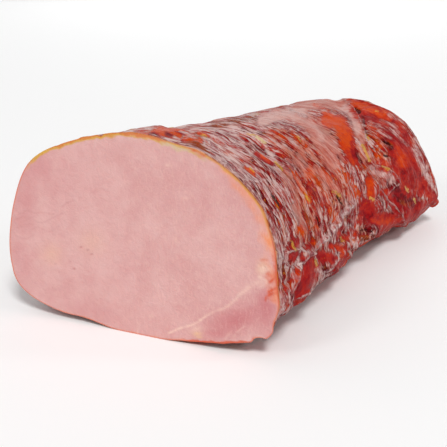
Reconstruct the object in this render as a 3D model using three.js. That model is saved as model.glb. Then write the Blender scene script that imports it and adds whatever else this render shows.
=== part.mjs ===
// Smoked pork loin, cut across at one end and rounded off at the other.
// Millimetres, +Z up. The loin lies along Y with its cut face towards -Y, and rests on a flat spot at z = 0.
import * as THREE from "three";

// Driving dimensions
const LOIN_LENGTH = 197;
const CORE_HEIGHT = 36;
const FLATTENED_BELOW = 1.2;

// Outline of the cut face [x, z], anticlockwise as seen from the cut end, starting at the widest point on the left.
const CUT_OUTLINE = [
  [-57.5, 25.0], // left flank, widest
  [-55.2, 13.6],
  [-49.5, 8.8], // lower left corner
  [-36.0, 4.4],
  [-22.0, 3.6],
  [-6.0, 0.6], // belly, where the loin rests
  [27.0, 3.4],
  [49.0, 7.8], // lower right corner, drawn out by the side muscle
  [57.2, 17.0],
  [56.3, 30.0], // right flank, nearly upright
  [54.2, 47.0],
  [42.0, 63.6], // right shoulder
  [24.0, 74.0],
  [2.0, 79.0], // top
  [-25.0, 73.8],
  [-45.6, 63.4], // left shoulder
  [-54.2, 46.3],
];

// How the section changes from the cut face (along 0) to the far end (along 1): the widths to the right and the
// left of the core, the height, all as shares of the cut face, and the sideways drift of the core in millimetres.
const STATIONS = [
  { along: 0.0, right: 1.0, left: 1.0, height: 1.0, drift: 0.0 },
  { along: 0.3, right: 0.875, left: 0.915, height: 0.9, drift: 3.4 },
  { along: 0.6, right: 0.84, left: 0.875, height: 0.822, drift: 8.2 },
  { along: 0.8, right: 0.85, left: 0.86, height: 0.782, drift: 12.2 },
  { along: 0.92, right: 0.86, left: 0.86, height: 0.765, drift: 14.4 },
  { along: 1.0, right: 0.87, left: 0.86, height: 0.755, drift: 15.6 },
];

// The far end closes as a superellipse round a low tip.
const ROUNDING_STARTS = 0.87;
const ROUNDING_POWER = 2.2;
const TIP_HEIGHT = 17;

// Muscle lobes and hollows: place along the loin, angle round the core in degrees (0 is the right flank, 90 the
// top), reach along and across the skin, and height in millimetres, negative for a hollow.
const LOBES = [
  { along: 0.16, around: -14, reachAlong: 9, reachAcross: 11, height: 1.8 },
  { along: 0.27, around: -15, reachAlong: 7, reachAcross: 7, height: 1.5 },
  { along: 0.33, around: -8, reachAlong: 7, reachAcross: 8, height: 1.7 },
  { along: 0.42, around: -9, reachAlong: 8, reachAcross: 8, height: 1.6 },
  { along: 0.56, around: -7, reachAlong: 12, reachAcross: 11, height: 2.8 },
  { along: 0.7, around: -14, reachAlong: 9, reachAcross: 8, height: 1.4 },
  { along: 0.91, around: -13, reachAlong: 14, reachAcross: 11, height: 4.0 },
  { along: 0.94, around: 14, reachAlong: 9, reachAcross: 9, height: -1.6 },
  { along: 0.93, around: 52, reachAlong: 15, reachAcross: 16, height: 2.2 },
  { along: 0.5, around: -38, reachAlong: 34, reachAcross: 12, height: -1.4 },
  { along: 0.76, around: -40, reachAlong: 20, reachAcross: 12, height: -1.8 },
  { along: 0.52, around: 48, reachAlong: 26, reachAcross: 20, height: 1.3 },
  { along: 0.84, around: 58, reachAlong: 15, reachAcross: 18, height: 1.6 },
  { along: 0.13, around: 196, reachAlong: 13, reachAcross: 12, height: 1.6 },
  { along: 0.31, around: 208, reachAlong: 12, reachAcross: 11, height: 2.4 },
  { along: 0.45, around: 190, reachAlong: 16, reachAcross: 13, height: 2.1 },
  { along: 0.63, around: 203, reachAlong: 11, reachAcross: 12, height: 2.9 },
  { along: 0.81, around: 186, reachAlong: 14, reachAcross: 13, height: 2.4 },
  { along: 0.38, around: 168, reachAlong: 20, reachAcross: 10, height: -1.6 },
  { along: 0.7, around: 156, reachAlong: 18, reachAcross: 12, height: -1.8 },
];

// Creases between muscles. Each runs round the core between two angles. Its place along the loin is nearest the
// cut face at the angle `lead` and lags behind by `lag` of the length a quarter turn away from there.
const CREASES = [
  { lead: 8, along: 0.645, lag: 0.26, from: -34, to: 116, width: 3.4, depth: 2.4 },
  { lead: 176, along: 0.52, lag: 0.2, from: 118, to: 236, width: 3.8, depth: 2.2 },
  { lead: 184, along: 0.79, lag: 0.06, from: 128, to: 222, width: 3.2, depth: 1.6 },
];

// Slow unevenness of the whole surface
const SWELL_HEIGHT = 0.7;

// Mesh fineness
const POINTS_ROUND = 84;
const RINGS = 34;
const ROUNDING_RINGS = 9;

const MEAN_RADIUS = 46;

/** Fading share of a bump at a distance given in units of its reach. */
const bell = (distance) => Math.exp(-distance * distance);

/** Difference between two angles in degrees, from -180 to 180. */
const turnBetween = (a, b) => THREE.MathUtils.euclideanModulo(a - b + 180, 360) - 180;

/** Points of the cut outline, evenly spread round it, with the angle of each round the core. */
function cutOutlinePoints() {
  const corners = CUT_OUTLINE.map(([x, z]) => new THREE.Vector3(x, 0, z));
  const outline = new THREE.CatmullRomCurve3(corners, true, "centripetal");
  return outline.getSpacedPoints(POINTS_ROUND).slice(0, POINTS_ROUND).map(({ x, z }) => ({
    x,
    z,
    around: THREE.MathUtils.radToDeg(Math.atan2(z - CORE_HEIGHT, x)),
  }));
}

/** Smooth section sizes at any place along the loin. */
function sectionSizes() {
  const places = STATIONS.map((station) => station.along);
  const sizes = STATIONS.flatMap(({ right, left, height, drift }) => [right, left, height, drift]);
  const through = new THREE.CubicInterpolant(places, sizes, 4);
  return (along) => {
    const [right, left, height, drift] = through.evaluate(along);
    return { right, left, height, drift };
  };
}

/** Share of the section that is left at a place along the loin, 1 up to the rounding and 0 at the tip. */
function roundingShare(along) {
  if (along <= ROUNDING_STARTS) return 1;
  const into = Math.min(1, (along - ROUNDING_STARTS) / (1 - ROUNDING_STARTS));
  return Math.pow(1 - Math.pow(into, ROUNDING_POWER), 1 / ROUNDING_POWER);
}

/** Height of all lobes and hollows at one place on the skin. */
function lobeHeight(along, around) {
  let height = 0;
  for (const lobe of LOBES) {
    const lengthwise = ((along - lobe.along) * LOIN_LENGTH) / lobe.reachAlong;
    const arc = THREE.MathUtils.degToRad(turnBetween(around, lobe.around)) * MEAN_RADIUS;
    height += lobe.height * bell(Math.hypot(lengthwise, arc / lobe.reachAcross));
  }
  return height;
}

/** Depth of all creases at one place on the skin. */
function creaseDepth(along, around) {
  let depth = 0;
  for (const crease of CREASES) {
    const middle = (crease.from + crease.to) / 2;
    const half = (crease.to - crease.from) / 2;
    const sideways = turnBetween(around, middle) / half;
    const fade = Math.max(0, 1 - sideways * sideways);
    const away = THREE.MathUtils.degToRad(turnBetween(around, crease.lead));
    const place = crease.along + crease.lag * (1 - Math.cos(away));
    depth += crease.depth * Math.sqrt(fade) * bell(((along - place) * LOIN_LENGTH) / crease.width);
  }
  return depth;
}

/** Slow swelling of the surface, which fades out at the cut face so that the outline stays true. */
function swell(along, around) {
  const turn = THREE.MathUtils.degToRad(around);
  const waves = Math.sin(9.5 * along + 3 * turn) + Math.sin(17 * along - 2 * turn + 1.3);
  return 0.5 * SWELL_HEIGHT * waves * Math.min(1, along / 0.1);
}

/** One ring of skin points at a place along the loin. */
function skinRing(along, outline, sizesAt) {
  const { right, left, height, drift } = sizesAt(along);
  const share = roundingShare(along);
  return outline.map((point) => {
    const relief = lobeHeight(along, point.around) + swell(along, point.around) - creaseDepth(along, point.around);
    const turn = THREE.MathUtils.degToRad(point.around);
    const x = point.x * (point.x > 0 ? right : left) + relief * Math.cos(turn);
    const z = point.z * height + relief * Math.sin(turn);
    const lifted = TIP_HEIGHT + (z - TIP_HEIGHT) * share;
    return new THREE.Vector3(
      drift + x * share,
      along * LOIN_LENGTH,
      Math.max(lifted, FLATTENED_BELOW) - FLATTENED_BELOW,
    );
  });
}

/** Places along the loin of every ring: even along the body, closing up round the far end. */
function ringPlaces() {
  const places = [];
  for (let i = 0; i < RINGS; i++) places.push((ROUNDING_STARTS * i) / RINGS);
  for (let i = 0; i < ROUNDING_RINGS; i++) {
    const into = Math.sin((i / ROUNDING_RINGS) * Math.PI * 0.5);
    places.push(ROUNDING_STARTS + (1 - ROUNDING_STARTS) * into);
  }
  return places;
}

/** The closed body: skin rings, a flat fan over the cut face and a fan over the tip. */
function loinGeometry() {
  const outline = cutOutlinePoints();
  const sizesAt = sectionSizes();
  const rings = ringPlaces().map((along) => skinRing(along, outline, sizesAt));
  const points = rings.flat();
  const faceCentre = points.push(new THREE.Vector3(0, 0, CORE_HEIGHT)) - 1;
  const tip = points.push(new THREE.Vector3(sizesAt(1).drift, LOIN_LENGTH, TIP_HEIGHT - FLATTENED_BELOW)) - 1;

  const triangles = [];
  for (let j = 0; j < POINTS_ROUND; j++) {
    const next = (j + 1) % POINTS_ROUND;
    triangles.push(faceCentre, j, next);
    for (let i = 0; i < rings.length - 1; i++) {
      const near = i * POINTS_ROUND;
      const far = near + POINTS_ROUND;
      triangles.push(near + j, far + j, far + next);
      triangles.push(near + j, far + next, near + next);
    }
    const last = (rings.length - 1) * POINTS_ROUND;
    triangles.push(tip, last + next, last + j);
  }

  const geometry = new THREE.BufferGeometry().setFromPoints(points);
  geometry.setIndex(triangles);
  geometry.computeVertexNormals();
  return geometry;
}

/** Moves the geometry so that the middle of its box's underside is the origin. */
function standOnOrigin(geometry) {
  geometry.computeBoundingBox();
  const { min, max } = geometry.boundingBox;
  geometry.translate(-(min.x + max.x) / 2, -(min.y + max.y) / 2, -min.z);
  return geometry;
}

/** Wet, smoked skin, red-brown on average. */
function smokedSkin() {
  return new THREE.MeshStandardMaterial({ color: 0xb4533f, roughness: 0.35, metalness: 0 });
}

const loin = new THREE.Mesh(standOnOrigin(loinGeometry()), smokedSkin());
loin.name = "smoked_loin";

const smokedPorkLoin = new THREE.Group();
smokedPorkLoin.add(loin);

export default smokedPorkLoin;
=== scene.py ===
"""Looks of a smoked pork loin: wrinkled smoked skin and a moist cut face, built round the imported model."""
import logging
import math
from dataclasses import dataclass
from enum import Enum
from typing import TypeAlias

import bpy
import numpy as np
from mathutils import Euler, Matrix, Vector
from mathutils.bvhtree import BVHTree


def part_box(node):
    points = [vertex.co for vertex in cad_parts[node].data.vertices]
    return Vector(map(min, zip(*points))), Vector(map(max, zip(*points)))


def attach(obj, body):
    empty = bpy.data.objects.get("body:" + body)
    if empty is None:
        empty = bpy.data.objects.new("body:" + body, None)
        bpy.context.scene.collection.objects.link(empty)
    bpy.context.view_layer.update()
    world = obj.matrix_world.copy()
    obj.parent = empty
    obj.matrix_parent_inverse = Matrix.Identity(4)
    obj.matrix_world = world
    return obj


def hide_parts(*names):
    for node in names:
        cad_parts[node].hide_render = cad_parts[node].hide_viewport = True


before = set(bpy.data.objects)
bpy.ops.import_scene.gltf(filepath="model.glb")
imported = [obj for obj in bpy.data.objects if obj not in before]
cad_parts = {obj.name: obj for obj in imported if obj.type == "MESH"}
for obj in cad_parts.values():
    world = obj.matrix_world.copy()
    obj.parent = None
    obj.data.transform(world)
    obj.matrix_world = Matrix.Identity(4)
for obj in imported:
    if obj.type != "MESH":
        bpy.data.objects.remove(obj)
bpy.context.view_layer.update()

log = logging.getLogger("smoked_loin")

METRES = 0.001  # the script's own unit is the millimetre
NODE = "smoked_loin"
PHOTO_SIDE = 447  # pixels, both ways
TURN = 2 * math.pi

Place: TypeAlias = tuple[float, float, float]
Point: TypeAlias = tuple[float, float]  # a place in the photograph, in pixels
Path: TypeAlias = tuple[Point, ...]
Colour: TypeAlias = tuple[float, float, float, float]
Socket: TypeAlias = bpy.types.NodeSocket
Tree: TypeAlias = bpy.types.NodeTree


# ---------------------------------------------------------------------------------------------- small tools


def smooth_step(low: float, high: float, value: np.ndarray) -> np.ndarray:
    """A number for each value that rises smoothly from 0 at low to 1 at high."""
    share = np.clip((value - low) / (high - low), 0.0, 1.0)
    return share * share * (3.0 - 2.0 * share)


def unit(vectors: np.ndarray) -> np.ndarray:
    """The same directions at length 1."""
    shortest = 1e-12
    return vectors / np.maximum(np.linalg.norm(vectors, axis=-1, keepdims=True), shortest)


def blur(values: np.ndarray, sigma: float, axis: int, closed: bool) -> np.ndarray:
    """Evens out a grid of values along one axis.

    Args:
        values: the grid.
        sigma: how far the smoothing reaches, in cells.
        axis: the axis to smooth along.
        closed: whether the axis runs round and meets itself.

    Returns:
        The smoothed grid.
    """
    reach = int(math.ceil(3.0 * sigma))
    offsets = np.arange(-reach, reach + 1)
    weights = np.exp(-0.5 * (offsets / sigma) ** 2)
    weights /= weights.sum()
    count = values.shape[axis]
    total = np.zeros_like(values)
    for offset, weight in zip(offsets, weights):
        index = np.arange(count) + offset
        index = index % count if closed else np.clip(index, 0, count - 1)
        total += weight * np.take(values, index, axis=axis)
    return total


def gradient_noise(across: np.ndarray, along: np.ndarray, period: int, seed: int) -> np.ndarray:
    """Smooth noise that repeats after a whole number of cells in its first direction.

    Args:
        across: places in cells, in the direction that repeats.
        along: places in cells, in the other direction.
        period: cells before it repeats.
        seed: which noise of the many it is.

    Returns:
        Values of about -1 to 1, one for each place.
    """
    depth = 512  # cells in the other direction
    angle = np.random.default_rng(seed).uniform(0.0, TURN, (period, depth))
    slope_across, slope_along = np.cos(angle), np.sin(angle)
    cell_across, cell_along = np.floor(across).astype(int), np.floor(along).astype(int)
    part_across, part_along = across - cell_across, along - cell_along

    def corner(right: int, up: int) -> np.ndarray:
        """The share of one corner of the cell, rising away from it along its own slope."""
        i, j = (cell_across + right) % period, (cell_along + up) % depth
        return slope_across[i, j] * (part_across - right) + slope_along[i, j] * (part_along - up)

    def eased(part: np.ndarray) -> np.ndarray:
        """A share from 0 to 1 that starts and ends level."""
        return part**3 * (part * (part * 6 - 15) + 10)

    share_across, share_along = eased(part_across), eased(part_along)
    near = corner(0, 0) * (1 - share_across) + corner(1, 0) * share_across
    far = corner(0, 1) * (1 - share_across) + corner(1, 1) * share_across
    return 1.5 * (near * (1 - share_along) + far * share_along)


def cell_borders(across: np.ndarray, along: np.ndarray, period: int,
                 seed: int) -> tuple[np.ndarray, np.ndarray]:
    """Splits a surface into uneven cells that repeat after a whole number of them in the first direction.

    Args:
        across: places in cells, in the direction that repeats.
        along: places in cells, in the other direction.
        period: cells before they repeat.
        seed: which cells of the many they are.

    Returns:
        The distance to the nearest border in cells, with a sign that changes across it, and a number from 0
        to 1 that differs from cell to cell.
    """
    depth = 128  # cells in the other direction
    spread = 0.85  # how far a cell's middle strays, as a share of the cell
    random = np.random.default_rng(seed)
    spot = 0.5 + spread * (random.random((period, depth, 2)) - 0.5)
    rank = random.random((period, depth))
    cell_across, cell_along = np.floor(across).astype(int), np.floor(along).astype(int)
    first, second = np.full(across.shape, 9.0), np.full(across.shape, 9.0)
    first_rank, second_rank = np.zeros(across.shape), np.zeros(across.shape)
    for step_across, step_along in ((i, j) for i in (-1, 0, 1) for j in (-1, 0, 1)):
        i, j = (cell_across + step_across) % period, (cell_along + step_along) % depth
        away = np.hypot(cell_across + step_across + spot[i, j, 0] - across,
                        cell_along + step_along + spot[i, j, 1] - along)
        nearest, nearer = away < first, away < second
        second_rank = np.where(nearest, first_rank, np.where(nearer, rank[i, j], second_rank))
        second = np.where(nearest, first, np.where(nearer, away, second))
        first_rank = np.where(nearest, rank[i, j], first_rank)
        first = np.where(nearest, away, first)
    side = np.where(first_rank > second_rank, 1.0, -1.0)
    return 0.5 * (second - first) * side, first_rank


def srgb(red: float, green: float, blue: float) -> Colour:
    """Turns a colour as a screen shows it, from 0 to 255, into the linear colour that shaders take.

    Args:
        red: red from 0 to 255.
        green: green from 0 to 255.
        blue: blue from 0 to 255.

    Returns:
        The linear red, green, blue and an alpha of 1.
    """
    def linear(value: float) -> float:
        """One channel from screen to linear."""
        share = value / 255.0
        return share / 12.92 if share <= 0.04045 else ((share + 0.055) / 1.055) ** 2.4

    return linear(red), linear(green), linear(blue), 1.0


def put_in_scene(name: str, data: bpy.types.ID) -> bpy.types.Object:
    """Makes an object and links it to the scene.

    Args:
        name: the object's name.
        data: its mesh, light or camera.

    Returns:
        The object.
    """
    thing = bpy.data.objects.new(name, data)
    bpy.context.scene.collection.objects.link(thing)
    return thing


def shining(direction: Vector) -> Euler:
    """The turn by which a light shines in a direction."""
    return direction.to_track_quat("-Z", "Y").to_euler()


# ---------------------------------------------------------------------------------------------- the camera


@dataclass(frozen=True)
class Viewpoint:
    """Where the photograph was taken from, worked out from the loin's outline."""

    right_of_length: float = 26.0  # degrees
    above: float = 18.0  # degrees
    place: Place = (188.17, -420.54, 165.4)  # millimetres
    focal_pixels: float = 1080.0  # focal length in pixels of the photograph
    sensor_width: float = 36.0  # millimetres
    nearest: float = 0.01  # metres, where the camera starts to see

    def axes(self) -> tuple[np.ndarray, np.ndarray, np.ndarray]:
        """The camera's own directions.

        Returns:
            The directions to the picture's right, to its top, and back to the camera.
        """
        turn, lift = math.radians(self.right_of_length), math.radians(self.above)
        right = np.array([math.cos(turn), math.sin(turn), 0.0])
        back = np.array([math.sin(turn) * math.cos(lift), -math.cos(turn) * math.cos(lift), math.sin(lift)])
        return right, np.cross(back, right), back

    def pixels(self, points: np.ndarray) -> np.ndarray:
        """Where points show in the photograph.

        Args:
            points: points in millimetres, on the last axis.

        Returns:
            Their x and y in pixels from the top left.
        """
        right, up, back = self.axes()
        offset = points - np.array(self.place)
        depth = -(offset @ back)
        across = PHOTO_SIDE / 2 + self.focal_pixels * (offset @ right) / depth
        down = PHOTO_SIDE / 2 - self.focal_pixels * (offset @ up) / depth
        return np.stack([across, down], axis=-1)

    def facing(self, points: np.ndarray, normals: np.ndarray) -> np.ndarray:
        """How squarely a surface faces the camera: 1 face on, 0 edge on, negative where it faces away."""
        return np.sum(unit(np.array(self.place) - points) * normals, axis=-1)

    def build(self) -> None:
        """Makes the camera and puts it in the scene."""
        data = bpy.data.cameras.new("photo_camera")
        data.sensor_fit = "HORIZONTAL"
        data.sensor_width = self.sensor_width
        data.lens = self.focal_pixels / PHOTO_SIDE * self.sensor_width
        data.clip_start = self.nearest
        camera = put_in_scene("photo_camera", data)
        camera.location = Vector(self.place) * METRES
        camera.rotation_euler = (math.radians(90.0 - self.above), 0.0, math.radians(self.right_of_length))
        bpy.context.scene.camera = camera


# ---------------------------------------------------------------------------------------------- shader tools


class Sheet:
    """A node tree with short ways to add and join its nodes."""

    def __init__(self, tree: Tree) -> None:
        """Takes the tree of a material or a group to write on."""
        self.tree = tree

    def add(self, kind: str, output: int | str, inputs: dict[int | str, object],
            **settings: object) -> Socket:
        """Adds a node.

        Args:
            kind: Blender's name of the node, without its first part.
            output: the output that is wanted.
            inputs: sockets to join or plain values, by the input they go to.
            settings: the node's own settings by name.

        Returns:
            The wanted output's socket.
        """
        node = self.tree.nodes.new("ShaderNode" + kind)
        for name, setting in settings.items():
            setattr(node, name, setting)
        for name, value in inputs.items():
            if isinstance(value, bpy.types.NodeSocket):
                self.tree.links.new(value, node.inputs[name])
            else:
                node.inputs[name].default_value = value
        return node.outputs[output]

    def math(self, operation: str, *values: object) -> Socket:
        """Adds a Math node for numbers or sockets."""
        return self.add("Math", 0, dict(enumerate(values)), operation=operation)

    def plus(self, first: object, second: object) -> Socket:
        """Adds two numbers."""
        return self.math("ADD", first, second)

    def less(self, first: object, second: object) -> Socket:
        """Takes the second number from the first."""
        return self.math("SUBTRACT", first, second)

    def times(self, first: object, second: object) -> Socket:
        """Multiplies two numbers."""
        return self.math("MULTIPLY", first, second)

    def scaled(self, value: object, factor: object, offset: object) -> Socket:
        """Multiplies a number by a factor and adds an offset."""
        return self.math("MULTIPLY_ADD", value, factor, offset)

    def vector(self, operation: str, *values: object) -> Socket:
        """Adds a Vector Math node for vectors or sockets."""
        return self.add("VectorMath", 0, dict(enumerate(values)), operation=operation)

    def noise(self, vector: Socket, scale: object, detail: float, roughness: float, twist: float) -> Socket:
        """Adds a Noise Texture.

        Args:
            vector: where it is read.
            scale: how many cells there are to a unit of the vector.
            detail: finer layers of noise on top.
            roughness: how strong the finer layers are.
            twist: how far it is distorted.

        Returns:
            The noise value's socket, mostly from 0.25 to 0.75.
        """
        return self.add("TexNoise", 0, {"Vector": vector, "Scale": scale, "Detail": detail,
                                        "Roughness": roughness, "Distortion": twist})

    def stretched_noise(self, vector: Socket, stretch: Place, roughness: float, twist: float) -> Socket:
        """Adds a Noise Texture with three finer layers, read at a stretched place."""
        return self.noise(self.vector("MULTIPLY", vector, stretch), 1.0, 3.0, roughness, twist)

    def borders(self, vector: Socket, scale: float) -> Socket:
        """Adds a Voronoi Texture that gives the distance to the nearest border of its cells."""
        inputs = {"Vector": vector, "Scale": scale}
        return self.add("TexVoronoi", "Distance", inputs, feature="DISTANCE_TO_EDGE")

    def rise(self, value: Socket, low: object, high: object, at_low: float = 0.0,
             at_high: object = 1.0) -> Socket:
        """Adds a smooth Map Range.

        Args:
            value: what is mapped.
            low: where the rise starts.
            high: where it ends.
            at_low: the result at and below low.
            at_high: the result at and above high.

        Returns:
            The result's socket.
        """
        inputs = {"Value": value, "From Min": low, "From Max": high, "To Min": at_low, "To Max": at_high}
        return self.add("MapRange", 0, inputs, interpolation_type="SMOOTHSTEP")

    def ramp(self, value: Socket, *stops: tuple[float, Colour]) -> Socket:
        """Adds a Color Ramp.

        Args:
            value: where on the ramp to read.
            stops: place and colour of each stop, in order.

        Returns:
            The colour's socket.
        """
        colour = self.add("ValToRGB", 0, {0: value})
        elements = colour.node.color_ramp.elements
        while len(elements) < len(stops):
            elements.new(0.5)
        for element, (place, shade) in zip(elements, stops):
            element.position = place
            element.color = shade
        return colour

    def mix(self, share: Socket, under: object, over: object) -> Socket:
        """Adds a colour Mix node that shows so much of the second colour."""
        return self.add("Mix", 2, {0: share, 6: under, 7: over}, data_type="RGBA")

    def painted(self, name: str, output: str = "Fac") -> Socket:
        """Reads the number, or the vector, that the mesh carries under a name."""
        return self.add("Attribute", output, {}, attribute_name=name)

    def group(self, tree: Tree, **values: object) -> Socket:
        """Places a node group with inputs by name, and gives its only output."""
        return self.add("Group", 0, values, node_tree=tree)


class Effect(Sheet):
    """A shader node group that puts out one number."""

    def __init__(self, name: str, output: str, vector: str, *numbers: str) -> None:
        """Starts the group.

        Args:
            name: the group's name.
            output: the name of what it puts out.
            vector: the name of its first input, a vector.
            numbers: the names of its other inputs.
        """
        super().__init__(bpy.data.node_groups.new(name, "ShaderNodeTree"))
        number = "NodeSocketFloat"
        self.tree.interface.new_socket(name=vector, in_out="INPUT", socket_type="NodeSocketVector")
        for socket in numbers:
            self.tree.interface.new_socket(name=socket, in_out="INPUT", socket_type=number)
        self.tree.interface.new_socket(name=output, in_out="OUTPUT", socket_type=number)
        self.given = self.tree.nodes.new("NodeGroupInput").outputs
        self.result = self.tree.nodes.new("NodeGroupOutput").inputs

    def stretched_grain(self) -> Socket:
        """Places along the grain, in wrinkles of the Length and Width that the group is given.

        Returns:
            The places' socket.
        """
        length, width = (self.math("DIVIDE", 1.0, self.given[name]) for name in ("Length", "Width"))
        stretch = self.add("CombineXYZ", 0, {0: length, 1: length, 2: width})
        return self.vector("MULTIPLY", self.given["Grain"], stretch)

    def finished(self, value: Socket) -> Tree:
        """Puts out a value and gives the group's tree."""
        self.tree.links.new(value, self.result[0])
        return self.tree


def wrinkle_group() -> Tree:
    """Wrinkles or fibres that run along the grain: long one way, thin the other.

    Returns:
        The group, whose height goes from 0 in the valleys to 1 on the crests.
    """
    sheet = Effect("wrinkles", "Height", "Grain", "Length", "Width")
    place = sheet.stretched_grain()
    broad = sheet.noise(place, 1.0, 1.5, 0.5, 0.5)
    fine = sheet.noise(sheet.vector("MULTIPLY", place, (1.7, 1.7, 2.3)), 1.0, 2.0, 0.5, 0.4)
    both = sheet.rise(sheet.scaled(fine, 0.45, sheet.times(broad, 0.55)), 0.34, 0.66)
    lens = sheet.borders(sheet.vector("MULTIPLY_ADD", both, (0.8, 0.8, 1.6), place), 0.55)
    net = sheet.rise(lens, 0.0, 0.28, 1.0, 0.0)
    return sheet.finished(sheet.scaled(net, 0.45, sheet.times(both, 0.65)))


def mesh_group() -> Tree:
    """A net of thin crossing lines, such as gathered membrane makes.

    Returns:
        The group, whose line goes from 0 between the lines to 1 on them.
    """
    sheet = Effect("mesh", "Line", "Grain", "Length", "Width")
    place = sheet.stretched_grain()
    bend = sheet.noise(place, 0.8, 2.0, 0.5, 0.3)
    cells = sheet.borders(sheet.vector("MULTIPLY_ADD", bend, (1.6, 1.6, 1.6), place), 1.0)
    return sheet.finished(sheet.rise(sheet.scaled(bend, 0.2, cells), 0.10, 0.22, 1.0, 0.0))


def mottle_group() -> Tree:
    """Cloudy unevenness of colour in two sizes.

    Returns:
        The group, with a value from 0 to 1.
    """
    sheet = Effect("mottle", "Value", "Place", "Size")
    place, size = sheet.given["Place"], sheet.given["Size"]
    coarse = sheet.noise(place, sheet.math("DIVIDE", 1.0, size), 2.0, 0.5, 0.6)
    fine = sheet.noise(place, sheet.math("DIVIDE", 4.0, size), 3.0, 0.6, 0.3)
    return sheet.finished(sheet.rise(sheet.scaled(fine, 0.35, sheet.times(coarse, 0.65)), 0.33, 0.67))


class Finish(Sheet):
    """A material's nodes, with its Principled shader."""

    def __init__(self, name: str, constants: dict[str, object]) -> None:
        """Starts the material.

        Args:
            name: the material's name.
            constants: the shader's values that are the same all over, by input.
        """
        self.material = bpy.data.materials.new(name)
        self.material.use_nodes = True
        super().__init__(self.material.node_tree)
        self.shader = self.tree.nodes["Principled BSDF"]
        for socket, value in constants.items():
            self.shader.inputs[socket].default_value = value

    def finished(self, relief: Socket, bump: float, strength: float,
                 **results: Socket) -> bpy.types.Material:
        """Joins the results to the shader.

        Args:
            relief: the height of the fine relief.
            bump: the relief's depth in metres.
            strength: how strongly it shows.
            results: what else goes to the shader, by input, with spaces as underscores.

        Returns:
            The material.
        """
        inputs = {"Strength": strength, "Distance": bump, "Height": relief}
        results["Normal"] = self.add("Bump", "Normal", inputs)
        for name, result in results.items():
            self.tree.links.new(result, self.shader.inputs[name.replace("_", " ")])
        return self.material


# ---------------------------------------------------------------------------------------------- the studio


@dataclass(frozen=True)
class Softbox:
    """A square light that shines at the loin."""

    name: str
    place: Place  # metres
    side: float  # metres
    watts: float
    aim: Place = (0.0, 0.0, 0.04)  # metres

    def build(self) -> None:
        """Makes the light and turns it to what it shines at."""
        data = bpy.data.lights.new(self.name, "AREA")
        data.shape = "SQUARE"
        data.size = self.side
        data.energy = self.watts
        light = put_in_scene(self.name, data)
        light.location = self.place
        light.visible_camera = False
        light.rotation_euler = shining(Vector(self.aim) - Vector(self.place))


@dataclass(frozen=True)
class Studio:
    """Plain pale floor, a broad soft light, softboxes and an even pale surround."""

    floor_reach: float = 6.0  # metres
    floor_colour: Colour = srgb(250, 250, 250)
    floor_roughness: float = 0.7
    floor_gloss: float = 0.2
    surround: Colour = (1.0, 1.0, 1.0, 1.0)
    surround_strength: float = 0.42
    key_strength: float = 1.9
    key_spread: float = 14.0  # degrees
    key_from: Place = (0.40, -0.54, 0.74)
    softboxes: tuple[Softbox, ...] = (
        Softbox("rear_light", (-0.42, 0.95, 0.38), 0.60, 0.9),
        Softbox("side_light", (0.95, 0.30, 0.62), 0.16, 1.2),
        Softbox("front_light", (-0.30, -1.00, 0.75), 0.30, 2.0),
    )

    def lay_floor(self) -> None:
        """Makes the floor."""
        mesh = bpy.data.meshes.new("floor")
        reach = self.floor_reach
        corners = [(-reach, -reach, 0.0), (reach, -reach, 0.0), (reach, reach, 0.0), (-reach, reach, 0.0)]
        mesh.from_pydata(corners, [], [(0, 1, 2, 3)])
        constants = {"Base Color": self.floor_colour, "Roughness": self.floor_roughness}
        constants["Specular IOR Level"] = self.floor_gloss
        mesh.materials.append(Finish("pale_floor", constants).material)
        floor = put_in_scene("floor", mesh)

    def build(self) -> None:
        """Makes the floor, the lights and the surround."""
        self.lay_floor()
        data = bpy.data.lights.new("key_light", "SUN")
        data.energy = self.key_strength
        data.angle = math.radians(self.key_spread)
        put_in_scene("key_light", data).rotation_euler = shining(-Vector(self.key_from))
        for softbox in self.softboxes:
            softbox.build()
        world = bpy.data.worlds.new("surround")
        world.use_nodes = True
        background = world.node_tree.nodes["Background"]
        background.inputs["Color"].default_value = self.surround
        background.inputs["Strength"].default_value = self.surround_strength
        bpy.context.scene.world = world
        bpy.context.scene.view_settings.view_transform = "Standard"


# ---------------------------------------------------------------------------------------------- finishes


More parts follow.
